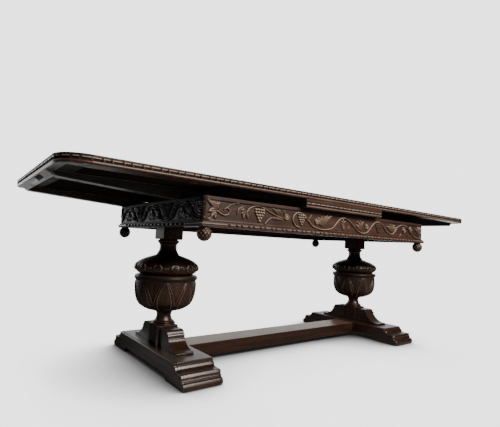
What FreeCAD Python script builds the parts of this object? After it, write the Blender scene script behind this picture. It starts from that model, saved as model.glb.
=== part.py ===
import FreeCAD, Part
import math
import os
import Sketcher
from types import SimpleNamespace

# Draw-leaf refectory table, leaves drawn out. Millimetres.
# Frame: origin on the floor under the centre, +X along the table, +Y to the back, +Z up.

doc = FreeCAD.newDocument("refectory_table")
sheet = doc.addObject("Spreadsheet::Sheet", "Sizes")

driving = {
    # top, leaves and centre board
    "table_height": 760,
    "top_length": 1416,
    "top_width": 920,
    "top_thickness": 28,
    "leaf_length": 522,
    "clamp_width": 87,
    "clamp_radius": 85,
    "tongue_length": 14,
    "tongue_thickness": 9,
    "recess_length": 150,
    "recess_width": 36,
    "recess_depth": 15,
    "recess_edge": 16,
    "centre_length": 544,
    "centre_thickness": 38,
    # leaf bearers and their stops
    "bearer_width": 44,
    "bearer_depth": 46,
    "bearer_clearance": 7,
    "bearer_gap": 83,
    "bearer_reach": 90,
    "bearer_tip": 25,
    "bearer_tip_run": 24,
    "stop_length": 20,
    "stop_width": 14,
    "stop_height": 30,
    "stop_travel": 10.3,
    # frieze box
    "frame_reach": 38,
    "frame_overhang": 41,
    "rail_height": 91,
    "rail_thickness": 25,
    "rail_tenon": 18,
    "rail_tenon_thickness": 11,
    "rail_tenon_height": 50,
    "post_size": 40,
    "post_radius": 16,
    "moulding_height": 20,
    "moulding_projection": 8,
    "drop_diameter": 50,
    "drop_neck": 24,
    "drop_neck_length": 5,
    "drop_peg": 12,
    "drop_peg_length": 20,
    # saddles across the frieze box
    "saddle_width": 60,
    "saddle_height": 62,
    "saddle_drop": 22,
    "saddle_tenon": 15,
    "saddle_tenon_width": 40,
    "saddle_tenon_height": 34,
    # pedestals
    "pedestal_inset": 78,
    "cap_size": 85,
    "cap_height": 65,
    "cap_chamfer": 6,
    "collar_radius": 44,
    "upper_neck_radius": 34,
    "upper_neck_height": 80,
    "cover_radius": 137,
    "cover_height": 86,
    "joint_radius": 117,
    "rim_radius": 135,
    "cup_radius": 131,
    "cup_height": 160,
    "lower_neck_radius": 31.5,
    "lower_neck_height": 55,
    "ring_radius": 52,
    "spigot_diameter": 60,
    "spigot_length": 40,
    "tenon_diameter": 44,
    "top_tenon_length": 35,
    "foot_tenon_length": 38,
    # plinth blocks, feet and stretcher
    "block_length": 104,
    "block_width": 90,
    "block_height": 84,
    "console_run": 161,
    "console_width": 76,
    "console_height": 78,
    "toe_height": 8,
    "foot_length": 730,
    "foot_top_length": 568,
    "foot_width": 170,
    "foot_height": 80,
    "foot_nose": 28,
    "foot_band": 48,
    "foot_step": 20,
    "foot_arch": 18,
    "foot_pad": 150,
    "stretcher_width": 130,
    "stretcher_top": 73,
    "stretcher_height": 59,
    "stretcher_tenon": 50,
    "stretcher_tenon_width": 80,
    "stretcher_tenon_height": 32,
    # pegs and screws
    "top_peg_diameter": 24,
    "top_peg_length": 34,
    "top_peg_seat": 12,
    "top_peg_spacing": 600,
    "foot_peg_diameter": 12,
    "foot_peg_spacing": 44,
    "screw_diameter": 5,
    "screw_head": 10,
    "screw_head_height": 4,
    "screw_bite": 16,
    # fits
    "seat_gap": 0.3,
    "joint_gap": 0.5,
    "peg_play": 0.2,
    "top_peg_play": 0.5,
    "notch_play": 1,
    "leaf_clearance": 1,
}


# A size carries its number and the expression that binds it to the sheet.
class Size:
    def __init__(self, value, text):
        self.value = value
        self.text = text

    def __add__(self, other):
        other = plain(other)
        return Size(self.value + other.value, "(%s + %s)" % (self.text, other.text))

    def __sub__(self, other):
        other = plain(other)
        return Size(self.value - other.value, "(%s - %s)" % (self.text, other.text))

    def __mul__(self, other):
        other = plain(other)
        return Size(self.value * other.value, "(%s * %s)" % (self.text, other.text))

    def __truediv__(self, other):
        other = plain(other)
        return Size(self.value / other.value, "(%s / %s)" % (self.text, other.text))

    def __neg__(self):
        return self * -1

    def __rsub__(self, other):
        return plain(other) - self

    __radd__ = __add__
    __rmul__ = __mul__


def plain(number):
    if isinstance(number, Size):
        return number
    return Size(float(number), repr(float(number)))


def distance(a, b):
    return Size(math.hypot(a.value, b.value), "sqrt(%s ^ 2 + %s ^ 2)" % (a.text, b.text))


named = {}
for row, (alias, number) in enumerate(driving.items(), start=1):
    sheet.set("A%d" % row, alias.replace("_", " "))
    sheet.set("B%d" % row, str(number))
    sheet.setAlias("B%d" % row, alias)
    named[alias] = Size(float(number), "Sizes." + alias)
doc.recompute()
s = SimpleNamespace(**named)

# Levels and half sizes that several pieces share
leaf_under = s.table_height - s.top_thickness
rail_top = leaf_under - s.centre_thickness
rail_bottom = rail_top - s.rail_height
moulding_bottom = rail_bottom - s.moulding_height
saddle_top = rail_top - s.saddle_drop
saddle_bottom = saddle_top - s.saddle_height
top_x = s.top_length / 2
top_y = s.top_width / 2
frame_x = top_x + s.frame_reach
frame_y = top_y - s.frame_overhang
centre_x = s.centre_length / 2
leaf_end = top_x + s.leaf_length
post_x = frame_x - s.post_size / 2
post_y = frame_y - s.post_size / 2
pedestal_x = frame_x - s.pedestal_inset
block_top = s.foot_height + s.block_height
# The turnings share the height between plinth block and saddle in proportion to their own heights
turning_sum = s.lower_neck_height + s.cup_height + s.cover_height + s.upper_neck_height + s.cap_height
stretch = (saddle_bottom - block_top) / turning_sum
lower_neck_height = s.lower_neck_height * stretch
cup_height = s.cup_height * stretch
cover_height = s.cover_height * stretch
upper_neck_height = s.upper_neck_height * stretch
cup_bottom = block_top + lower_neck_height
cup_top = cup_bottom + cup_height
cover_top = cup_top + cover_height
neck_top = cover_top + upper_neck_height
foot_inner = pedestal_x - s.foot_width / 2
# A leaf rises by its drop while it runs out from under the top
draw_slope = (s.top_thickness + s.leaf_clearance) / ((s.top_length - s.centre_length) / 2)
outer_lane = frame_y - s.post_size - s.bearer_clearance - s.bearer_width / 2
inner_lane = outer_lane - s.bearer_width - s.bearer_gap

subparts = []


def bind(thing, prop, size):
    thing.setExpression(prop, plain(size).text)


def place(thing, x, y, z):
    bind(thing, "Placement.Base.x", x)
    bind(thing, "Placement.Base.y", y)
    bind(thing, "Placement.Base.z", z)
    return thing


def keep(thing, label):
    thing.Label = label
    subparts.append(thing)
    return thing


# A box by its three lengths, its centre in plan and its underside
def box(name, lengths, x, y, z):
    thing = doc.addObject("Part::Box", name)
    bind(thing, "Length", lengths[0])
    bind(thing, "Width", lengths[1])
    bind(thing, "Height", lengths[2])
    return place(thing, plain(x) - lengths[0] / 2, plain(y) - lengths[1] / 2, z)


# An upright cylinder by its diameter, height, centre in plan and underside
def rod(name, diameter, height, x, y, z):
    thing = doc.addObject("Part::Cylinder", name)
    bind(thing, "Radius", plain(diameter) / 2)
    bind(thing, "Height", height)
    return place(thing, x, y, z)


def cut(name, base, *tools):
    thing = doc.addObject("Part::Cut", name)
    thing.Base = base
    thing.Tool = tools[0] if len(tools) == 1 else fuse(name + "_tools", *tools)
    return thing


def fuse(name, *pieces):
    thing = doc.addObject("Part::MultiFuse", name)
    thing.Shapes = list(pieces)
    return thing


# Several separate solids of one kind, kept as one node
def group(name, pieces):
    thing = doc.addObject("Part::Compound", name)
    thing.Links = list(pieces)
    return thing


# A closed outline on one of the body's origin planes. Each corner is (across, up, bulge); the bulge is
# the rise of the arc to the next corner over its chord, to the right of travel, and 0 is a straight side.
def outline(body, role, corners):
    sketch = body.newObject("Sketcher::SketchObject", body.Name + "_outline")
    sketch.AttachmentSupport = (next(f for f in body.Origin.OriginFeatures if f.Role == role), [""])
    sketch.MapMode = "FlatFace"
    count = len(corners)
    ends = []
    radii = []
    for i, (across, up, bulge) in enumerate(corners):
        next_across, next_up, _ = corners[(i + 1) % count]
        start = FreeCAD.Vector(across.value, up.value, 0)
        end = FreeCAD.Vector(next_across.value, next_up.value, 0)
        if bulge == 0:
            sketch.addGeometry(Part.LineSegment(start, end), False)
            ends.append((1, 2))
            continue
        chord = end - start
        right = FreeCAD.Vector(chord.y, -chord.x, 0)
        share = (1 + 4 * bulge ** 2) / (8 * abs(bulge))
        radius = chord.Length * share
        towards = math.copysign(1, bulge)
        centre = (start + end) * 0.5 + right * bulge - right * (towards * share)
        first, last = (start, end) if bulge > 0 else (end, start)
        angle = math.atan2(first.y - centre.y, first.x - centre.x)
        final = math.atan2(last.y - centre.y, last.x - centre.x)
        if final < angle:
            final += 2 * math.pi
        circle = Part.Circle(centre, FreeCAD.Vector(0, 0, 1), radius)
        sketch.addGeometry(Part.ArcOfCircle(circle, angle, final), False)
        ends.append((1, 2) if bulge > 0 else (2, 1))
        radii.append((i, distance(next_across - across, next_up - up) * share))
    for i in range(count):
        j = (i + 1) % count
        sketch.addConstraint(Sketcher.Constraint("Coincident", i, ends[i][1], j, ends[j][0]))
    for i, (across, up, _) in enumerate(corners):
        for kind, size in (("DistanceX", across), ("DistanceY", up)):
            row = sketch.addConstraint(Sketcher.Constraint(kind, -1, 1, i, ends[i][0], size.value))
            sketch.setExpression("Constraints[%d]" % row, size.text)
    for i, size in radii:
        row = sketch.addConstraint(Sketcher.Constraint("Radius", i, size.value))
        sketch.setExpression("Constraints[%d]" % row, size.text)
    return sketch


# An outline padded along its plane's normal: +X from YZ, -Y from XZ, +Z from XY
def padded(name, role, corners, length):
    body = doc.addObject("PartDesign::Body", name)
    sketch = outline(body, role, corners)
    pad = body.newObject("PartDesign::Pad", name + "_pad")
    pad.Profile = sketch
    bind(pad, "Length", length)
    body.Tip = pad
    return body


# A profile of (radius, height) corners turned about the upright axis
def turned(name, corners, x, y):
    body = doc.addObject("PartDesign::Body", name)
    sketch = outline(body, "XZ_Plane", corners)
    spin = body.newObject("PartDesign::Revolution", name + "_turning")
    spin.Profile = sketch
    spin.ReferenceAxis = (sketch, ["V_Axis"])
    body.Tip = spin
    return place(body, x, y, 0)


def mirrored(half):
    # the other half of a symmetric outline, walked back; bulges belong to the side that follows a corner
    back = []
    for i in range(len(half) - 1, -1, -1):
        bulge = half[i - 1][2] if i > 0 else 0
        back.append((-half[i][0], half[i][1], bulge))
    return half + back


ends = (("left", -1), ("right", 1))
sides = (("front", -1), ("back", 1))


# Sledge foot: two pads, a shallow arch between them, stepped and coved ends
def foot(word, end):
    far = s.foot_length / 2
    flat = s.foot_top_length / 2
    arch = far - s.foot_pad
    half = [
        (arch, plain(0), 0),
        (far - 3, plain(0), 0.2),
        (far, plain(4), 0),
        (far, s.foot_nose - 4, 0.25),
        (far - 5, s.foot_nose + 2, 0),
        (far - s.foot_step + 2, s.foot_nose + 5, 0),
        (far - s.foot_step, s.foot_band - 3, 0.2),
        (far - s.foot_step - 4, s.foot_band, -0.12),
        (flat + 10, s.foot_band + 9, 0),
        (flat + 7, s.foot_band + 13, 0),
        (flat, s.foot_height, 0),
    ]
    under = [
        (-(arch - 8), s.foot_arch, 0),
        (arch - 8, s.foot_arch, 0),
    ]
    body = padded(word + "_foot_blank", "YZ_Plane", under + mirrored(half), s.foot_width)
    place(body, end * pedestal_x - s.foot_width / 2, 0, 0)
    socket = rod(word + "_foot_socket", s.tenon_diameter + 2 * s.peg_play, s.foot_tenon_length + s.seat_gap,
                 end * pedestal_x, 0, s.foot_height - s.foot_tenon_length - s.seat_gap)
    depth = s.stretcher_tenon + s.seat_gap
    mortise = box(word + "_foot_mortise",
                  (depth, s.stretcher_tenon_width + 2 * s.peg_play, s.stretcher_tenon_height + 2 * s.peg_play),
                  end * (foot_inner + depth / 2), 0, stretcher_tenon_z - s.peg_play)
    holes = [rod("%s_foot_peg_hole_%d" % (word, i), s.foot_peg_diameter + 2 * s.peg_play, foot_peg_length,
                 end * foot_peg_x, i * s.foot_peg_spacing / 2, s.foot_arch - 1) for i in (-1, 1)]
    keep(cut(word + "_foot_cut", body, socket, mortise, *holes), word + "_foot")


stretcher_bottom = s.stretcher_top - s.stretcher_height
stretcher_tenon_z = stretcher_bottom + (s.stretcher_height - s.stretcher_tenon_height) / 2
foot_peg_x = foot_inner + s.stretcher_tenon / 2
foot_peg_length = stretcher_tenon_z + s.stretcher_tenon_height - s.foot_arch

for word, end in ends:
    foot(word, end)


# Stretcher board with a tenon into each foot, held by pegs driven from below
def stretcher():
    board = box("stretcher_board", (2 * foot_inner, s.stretcher_width, s.stretcher_height),
                0, 0, stretcher_bottom)
    tenon = box("stretcher_tenons",
                (2 * (foot_inner + s.stretcher_tenon), s.stretcher_tenon_width, s.stretcher_tenon_height),
                0, 0, stretcher_tenon_z)
    holes = []
    pegs = []
    for word, end in ends:
        for i in (-1, 1):
            spot = (end * foot_peg_x, i * s.foot_peg_spacing / 2)
            holes.append(rod("stretcher_hole_%s_%d" % (word, i), s.foot_peg_diameter + 2 * s.peg_play,
                             foot_peg_length + 4, *spot, s.foot_arch))
            pegs.append(rod("stretcher_peg_%s_%d" % (word, i), s.foot_peg_diameter,
                            foot_peg_length - 2, *spot, s.foot_arch + 1))
    keep(cut("stretcher_cut", fuse("stretcher_blank", board, tenon), *holes), "stretcher")
    keep(group("stretcher_peg_group", pegs), "stretcher_pegs")


stretcher()


# Plinth block: the square foot of a turning, bored for the cup's tenon
def plinth(word, end):
    block = box(word + "_plinth_blank", (s.block_width, s.block_length, s.block_height),
                end * pedestal_x, 0, s.foot_height)
    bore = rod(word + "_plinth_bore", s.tenon_diameter + 2 * s.peg_play, s.block_height + 2,
               end * pedestal_x, 0, s.foot_height - 1)
    keep(cut(word + "_plinth_cut", block, bore), word + "_plinth_block")


# Ogee console glued to the front or back of a plinth block: toe, cove, two fillets and a rounded head
def console(word, end, side_word, side):
    back = s.block_length / 2
    run = s.console_run
    low = s.foot_height
    tall = s.console_height
    steps = [
        (back, low, 0),
        (back + run, low, 0),
        (back + run, low + s.toe_height, -0.17),
        (back + run * 0.54, low + tall * 0.49, 0),
        (back + run * 0.54, low + tall * 0.53, 0),
        (back + run * 0.49, low + tall * 0.55, 0),
        (back + run * 0.49, low + tall * 0.75, 0),
        (back + run * 0.46, low + tall * 0.79, 0.22),
        (back + run * 0.33, low + tall, 0),
        (back, low + tall, 0),
    ]
    corners = [(side * across, up, side * bulge) for across, up, bulge in steps]
    name = "%s_%s_console" % (word, side_word)
    body = padded(name + "_body", "YZ_Plane", corners, s.console_width)
    keep(place(body, end * pedestal_x - s.console_width / 2, 0, 0), name)


# Cup: foot tenon, rings, waist, bowl and rim, with a socket for the cover's spigot
def cup(word, end):
    bowl = cup_height
    profile = [
        (plain(0), s.foot_height - s.foot_tenon_length, 0),
        (s.tenon_diameter / 2, s.foot_height - s.foot_tenon_length, 0),
        (s.tenon_diameter / 2, block_top, 0),
        (s.ring_radius - 1, block_top, 0.3),
        (s.ring_radius - 1, block_top + 7, 0),
        (s.ring_radius - 8, block_top + 8, 0.3),
        (s.ring_radius - 8, block_top + 15, 0),
        (s.ring_radius - 14, block_top + 20, -0.12),
        (s.lower_neck_radius, block_top + lower_neck_height * 0.67, -0.16),
        (s.lower_neck_radius + 10, cup_bottom, 0),
        (s.lower_neck_radius + 14, cup_bottom + bowl * 0.01, 0.17),
        (s.cup_radius * 0.85, cup_bottom + bowl * 0.22, 0.12),
        (s.cup_radius, cup_bottom + bowl * 0.64, 0),
        (s.cup_radius + 1, cup_bottom + bowl * 0.84, 0),
        (s.rim_radius, cup_bottom + bowl * 0.86, 0.2),
        (s.rim_radius, cup_bottom + bowl * 0.92, 0),
        (s.joint_radius, cup_top, 0),
        (s.spigot_diameter / 2 + s.peg_play, cup_top, 0),
        (s.spigot_diameter / 2 + s.peg_play, cup_top - s.spigot_length - s.seat_gap, 0),
        (plain(0), cup_top - s.spigot_length - s.seat_gap, 0),
    ]
    keep(turned(word + "_cup_body", profile, end * pedestal_x, 0), word + "_cup")


# Cover: spigot, undercut, domed cap, neck, collar and a top tenon
def cover(word, end):
    tall = cover_height
    tenon_top = saddle_bottom + s.top_tenon_length
    profile = [
        (plain(0), cup_top - s.spigot_length, 0),
        (s.spigot_diameter / 2, cup_top - s.spigot_length, 0),
        (s.spigot_diameter / 2, cup_top, 0),
        (s.joint_radius, cup_top, 0.12),
        (s.cover_radius, cup_top + tall * 0.34, 0.16),
        (s.cover_radius * 0.92, cup_top + tall * 0.6, 0.1),
        (s.cover_radius * 0.52, cup_top + tall * 0.9, 0),
        (s.upper_neck_radius + 13, cover_top, -0.14),
        (s.upper_neck_radius, cover_top + upper_neck_height * 0.4, -0.1),
        (s.upper_neck_radius + 5, neck_top - 28, 0),
        (s.collar_radius - 1, neck_top - 26, 0.3),
        (s.collar_radius - 1, neck_top - 15, 0),
        (s.collar_radius - 6, neck_top - 12, 0),
        (s.collar_radius - 6, neck_top, 0),
        (s.tenon_diameter / 2, neck_top, 0),
        (s.tenon_diameter / 2, tenon_top, 0),
        (plain(0), tenon_top, 0),
    ]
    keep(turned(word + "_cover_body", profile, end * pedestal_x, 0), word + "_cover")


# Cap block between the neck and the saddle, its lower edges taken off
def cap(word, end):
    wide = s.cap_size / 2
    edge = s.cap_chamfer
    corners = [
        (-wide + edge, neck_top, 0),
        (wide - edge, neck_top, 0.2),
        (wide, neck_top + edge, 0),
        (wide, saddle_bottom, 0),
        (-wide, saddle_bottom, 0),
        (-wide, neck_top + edge, 0.2),
    ]
    along_x = padded(word + "_cap_x", "XZ_Plane", corners, s.cap_size)
    place(along_x, end * pedestal_x, wide, 0)
    along_y = padded(word + "_cap_y", "YZ_Plane", corners, s.cap_size)
    place(along_y, end * pedestal_x - wide, 0, 0)
    both = doc.addObject("Part::Common", word + "_cap_common")
    both.Base = along_x
    both.Tool = along_y
    bore = rod(word + "_cap_bore", s.tenon_diameter + 2 * s.peg_play, saddle_bottom - neck_top + 2,
               end * pedestal_x, 0, neck_top - 1)
    keep(cut(word + "_cap_cut", both, bore), word + "_cap_block")


# Saddle: the cross rail that carries the frieze box on one pedestal
def saddle(word, end):
    inside = 2 * (frame_y - s.rail_thickness)
    beam = box(word + "_saddle_beam", (s.saddle_width, inside, s.saddle_height),
               end * pedestal_x, 0, saddle_bottom)
    tenon = box(word + "_saddle_tenons",
                (s.saddle_tenon_width, inside + 2 * s.saddle_tenon, s.saddle_tenon_height),
                end * pedestal_x, 0, saddle_tenon_z)
    bore = rod(word + "_saddle_bore", s.tenon_diameter + 2 * s.peg_play, s.top_tenon_length + s.seat_gap + 1,
               end * pedestal_x, 0, saddle_bottom - 1)
    keep(cut(word + "_saddle_cut", fuse(word + "_saddle_blank", beam, tenon), bore), word + "_saddle")


saddle_tenon_z = saddle_bottom + (s.saddle_height - s.saddle_tenon_height) / 2

for word, end in ends:
    plinth(word, end)
    for side_word, side in sides:
        console(word, end, side_word, side)
    cup(word, end)
    cover(word, end)
    cap(word, end)
    saddle(word, end)

tenon_z = rail_top - (s.rail_height + s.rail_tenon_height) / 2 + 4
tenon_inset = s.rail_thickness / 2


# Long frieze rail, tenoned into the posts and mortised for the saddles
def long_rail(word, side):
    reach = 2 * (frame_x - s.post_size)
    middle = side * (frame_y - s.rail_thickness / 2)
    board = box(word + "_rail_board", (reach, s.rail_thickness, s.rail_height), 0, middle, rail_bottom)
    tenon = box(word + "_rail_tenons", (reach + 2 * s.rail_tenon, s.rail_tenon_thickness, s.rail_tenon_height),
                0, middle, tenon_z)
    depth = s.saddle_tenon + s.seat_gap
    tools = [box("%s_rail_mortise_%s" % (word, name),
                 (s.saddle_tenon_width + 2 * s.peg_play, depth, s.saddle_tenon_height + 2 * s.peg_play),
                 end * pedestal_x, side * (frame_y - s.rail_thickness + depth / 2), saddle_tenon_z - s.peg_play)
             for name, end in ends]
    tools += [rod("%s_rail_pilot_%d" % (word, i), s.screw_diameter + 2 * s.peg_play, s.screw_bite + 1,
                  i * centre_x / 2, middle, rail_top - s.screw_bite) for i in (-1, 1)]
    keep(cut(word + "_rail_cut", fuse(word + "_rail_blank", board, tenon), *tools), word + "_rail")


# Bearer lanes: both leaves are alike, turned end for end, so their bearers pass side by side
def lane(end, side):
    return side * (inner_lane if end * side > 0 else outer_lane)


# Height of the underside of a bearer at a distance from the table's centre
def bearer_bottom(x):
    return leaf_under - s.bearer_depth - draw_slope * (frame_x - x)


# End frieze rail, tenoned into the posts and notched for its leaf's bearers
def end_rail(word, end):
    reach = 2 * (frame_y - s.post_size)
    middle = end * (frame_x - s.rail_thickness / 2)
    board = box(word + "_rail_board", (s.rail_thickness, reach, s.rail_height), middle, 0, rail_bottom)
    tenon = box(word + "_rail_tenons", (s.rail_tenon_thickness, reach + 2 * s.rail_tenon, s.rail_tenon_height),
                middle, 0, tenon_z)
    floor = bearer_bottom(frame_x - s.rail_thickness) - s.seat_gap
    tools = [box("%s_notch_%s" % (word, name),
                 (s.rail_thickness + 2, s.bearer_width + 2 * s.notch_play, rail_top - floor + 1),
                 middle, lane(end, side), floor) for name, side in sides]
    keep(cut(word + "_rail_cut", fuse(word + "_rail_blank", board, tenon), *tools), word + "_end_rail")


# Corner post with its outer arris rounded, mortised for two rails and bored for the drop's peg
def post(word, end, side):
    size = s.post_size / 2
    soft = s.post_radius
    turn = end * side
    corners = [
        (-end * size, -side * size, 0),
        (end * size, -side * size, 0),
        (end * size, side * (size - soft), 0.2071 * turn),
        (end * (size - soft), side * size, 0),
        (-end * size, side * size, 0),
    ]
    blank = padded(word + "_post_blank", "XY_Plane", corners, s.rail_height)
    place(blank, end * post_x, side * post_y, rail_bottom)
    depth = s.rail_tenon + s.seat_gap
    slack = 2 * s.peg_play
    along_x = box(word + "_post_mortise_x",
                  (depth, s.rail_tenon_thickness + slack, s.rail_tenon_height + slack),
                  end * (frame_x - s.post_size + depth / 2), side * (frame_y - tenon_inset),
                  tenon_z - s.peg_play)
    along_y = box(word + "_post_mortise_y",
                  (s.rail_tenon_thickness + slack, depth, s.rail_tenon_height + slack),
                  end * (frame_x - tenon_inset), side * (frame_y - s.post_size + depth / 2),
                  tenon_z - s.peg_play)
    hole = rod(word + "_post_hole", s.drop_peg + slack, s.drop_peg_length + s.seat_gap + 1,
               end * post_x, side * post_y, rail_bottom - 1)
    keep(cut(word + "_post_cut", blank, along_x, along_y, hole), word + "_corner_post")


# Section of the moulding under the rails: across is the distance in from its outer face
def moulding_section(face, outward):
    inner = s.rail_thickness + s.moulding_projection
    low = moulding_bottom
    tall = s.moulding_height
    steps = [
        (inner, low, 0),
        (plain(1.5), low, 0.2 * outward),
        (plain(0), low + 1.5, 0),
        (plain(0), low + tall * 0.55, -0.15 * outward),
        (s.moulding_projection - 1, low + tall - 2, 0),
        (s.moulding_projection - 1, low + tall, 0),
        (inner, low + tall, 0),
    ]
    return [(outward * (face - across), up, bulge) for across, up, bulge in steps]


# Mitred moulding along one side of the frame; the mitre cuts are wedges over each end
def moulding(word, role, face, other_face, outward):
    long = 2 * (other_face + s.moulding_projection)
    outer = face + s.moulding_projection
    body = padded(word + "_moulding_strip", role, moulding_section(outer, outward), long)
    if role == "YZ_Plane":
        place(body, -long / 2, 0, 0)
    else:
        place(body, 0, long / 2, 0)
    inner = face - s.rail_thickness
    back = other_face - s.rail_thickness
    over = plain(20)
    wedges = []
    for word_end, end in ends:
        # a triangle from past the outer corner to past the inner corner, on the far side of the mitre line
        near = [(outer + over, other_face + s.moulding_projection + over),
                (inner - over, back - over),
                (inner - over, other_face + s.moulding_projection + over)]
        spots = [(outward * a, end * b) for a, b in near]
        if role == "YZ_Plane":
            spots = [(b, a) for a, b in spots]
        wedge = padded("%s_mitre_%s" % (word, word_end), "XY_Plane", [(a, b, 0) for a, b in spots],
                       s.moulding_height + 2)
        wedges.append(place(wedge, 0, 0, moulding_bottom - 1))
    holes = []
    for word_end, end in ends:
        spot = (end * post_x, outward * post_y) if role == "YZ_Plane" else (outward * post_x, end * post_y)
        holes.append(rod("%s_hole_%s" % (word, word_end), s.drop_peg + 2 * s.peg_play, s.moulding_height + 2,
                         *spot, moulding_bottom - 1))
    keep(cut(word + "_moulding_cut", body, *wedges, *holes), word + "_moulding")


# Ball drop under a corner, with a neck and a peg
def drop(word, end, side):
    ball = s.drop_diameter / 2
    neck = s.drop_neck / 2
    centre = moulding_bottom - s.drop_neck_length - ball * 0.88
    peg_top = rail_bottom + s.drop_peg_length
    profile = [
        (plain(0), centre - ball, 0.2071),
        (ball, centre, 0.13),
        (neck, moulding_bottom - s.drop_neck_length, 0),
        (neck, moulding_bottom, 0),
        (s.drop_peg / 2, moulding_bottom, 0),
        (s.drop_peg / 2, peg_top, 0),
        (plain(0), peg_top, 0),
    ]
    keep(turned(word + "_drop_body", profile, end * post_x, side * post_y), word + "_drop")


for word, side in sides:
    long_rail(word, side)
    moulding(word, "YZ_Plane", frame_y, frame_x, side)
for word, end in ends:
    end_rail(word, end)
    moulding(word, "XZ_Plane", frame_x, frame_y, end)
for side_word, side in sides:
    for end_word, end in ends:
        post(side_word + "_" + end_word, end, side)
        drop(side_word + "_" + end_word, end, side)


# Fixed centre board between the stowed leaves, screwed down to the long rails
def centre_board():
    board = box("centre_board_blank", (s.centre_length, s.top_width, s.centre_thickness), 0, 0, rail_top)
    tools = [rod("centre_peg_hole_%d" % i, s.top_peg_diameter + 2 * s.top_peg_play, s.centre_thickness + 2,
                 0, i * s.top_peg_spacing / 2, rail_top - 1) for i in (-1, 1)]
    screws = []
    for word, side in sides:
        middle = side * (frame_y - s.rail_thickness / 2)
        for i in (-1, 1):
            spot = (i * centre_x / 2, middle)
            name = "centre_screw_%s_%d" % (word, i)
            tools.append(rod(name + "_hole", s.screw_diameter + 2 * s.peg_play, s.centre_thickness + 2,
                             *spot, rail_top - 1))
            tools.append(rod(name + "_sink", s.screw_head + 2 * s.peg_play, s.screw_head_height + 2,
                             *spot, leaf_under - s.screw_head_height - 1))
            shank = rod(name + "_shank", s.screw_diameter, s.centre_thickness - 1 + s.screw_bite - 1,
                        *spot, rail_top - s.screw_bite + 1)
            head = rod(name + "_head", s.screw_head, s.screw_head_height, *spot,
                       leaf_under - s.screw_head_height - 1)
            screws.append(fuse(name, shank, head))
    keep(cut("centre_board_cut", board, *tools), "centre_board")
    keep(group("centre_screw_group", screws), "centre_board_screws")


# Loose main top, located by two pegs that drop into the centre board
def main_top():
    board = box("main_top_blank", (s.top_length - 2 * s.joint_gap, s.top_width, s.top_thickness),
                0, 0, leaf_under)
    seats = []
    pegs = []
    for i in (-1, 1):
        spot = (0, i * s.top_peg_spacing / 2)
        seats.append(rod("top_seat_%d" % i, s.top_peg_diameter + 2 * s.peg_play,
                         s.top_peg_seat + s.seat_gap + 1, *spot, leaf_under - 1))
        pegs.append(rod("top_peg_%d" % i, s.top_peg_diameter, s.top_peg_length + s.top_peg_seat,
                        *spot, leaf_under - s.top_peg_length))
    keep(cut("main_top_cut", board, *seats), "main_top")
    keep(group("top_peg_group", pegs), "top_pegs")


centre_board()
main_top()

bearer_inner = centre_x - s.bearer_reach
bearer_outer = leaf_end - s.bearer_tip
screw_reach = (leaf_end - s.clamp_width - top_x) / 4


# Leaf panel with a tongue into its clamp, and pilot holes for the bearer screws
def leaf_panel(word, end):
    long = s.leaf_length - s.clamp_width
    board = box(word + "_panel_board", (long, s.top_width, s.top_thickness),
                end * (top_x + long / 2), 0, leaf_under)
    tongue = box(word + "_panel_tongue",
                 (s.tongue_length + 1, s.top_width - 2 * s.clamp_radius, s.tongue_thickness),
                 end * (top_x + long + (s.tongue_length - 1) / 2), 0,
                 leaf_under + (s.top_thickness - s.tongue_thickness) / 2)
    holes = [rod("%s_pilot_%s_%d" % (word, name, i), s.screw_diameter + 2 * s.peg_play, s.screw_bite + 1,
                 end * (top_x + i * screw_reach), lane(end, side), leaf_under - 1)
             for name, side in sides for i in (1, 2, 3)]
    keep(cut(word + "_panel_cut", fuse(word + "_panel_blank", board, tongue), *holes), word + "_leaf_panel")


# Clamped end of a leaf: rounded corners, a groove for the tongue and a finger recess below
def clamp(word, end):
    inner = leaf_end - s.clamp_width
    wide = top_y
    soft = s.clamp_radius
    corners = [
        (end * inner, -wide, 0),
        (end * (leaf_end - soft), -wide, 0.2071 * end),
        (end * leaf_end, -(wide - soft), 0),
        (end * leaf_end, wide - soft, 0.2071 * end),
        (end * (leaf_end - soft), wide, 0),
        (end * inner, wide, 0),
    ]
    blank = padded(word + "_clamp_blank", "XY_Plane", corners, s.top_thickness)
    place(blank, 0, 0, leaf_under)
    depth = s.tongue_length + s.seat_gap
    groove = box(word + "_clamp_groove",
                 (depth + 1, s.top_width - 2 * s.clamp_radius + 2 * s.peg_play,
                  s.tongue_thickness + 2 * s.peg_play),
                 end * (inner + (depth - 1) / 2), 0,
                 leaf_under + (s.top_thickness - s.tongue_thickness) / 2 - s.peg_play)
    recess = box(word + "_clamp_recess", (s.recess_width, s.recess_length, s.recess_depth + 1),
                 end * (leaf_end - s.recess_edge - s.recess_width / 2), 0, leaf_under - 1)
    keep(cut(word + "_clamp_cut", blank, groove, recess), word + "_leaf_clamp")


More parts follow.
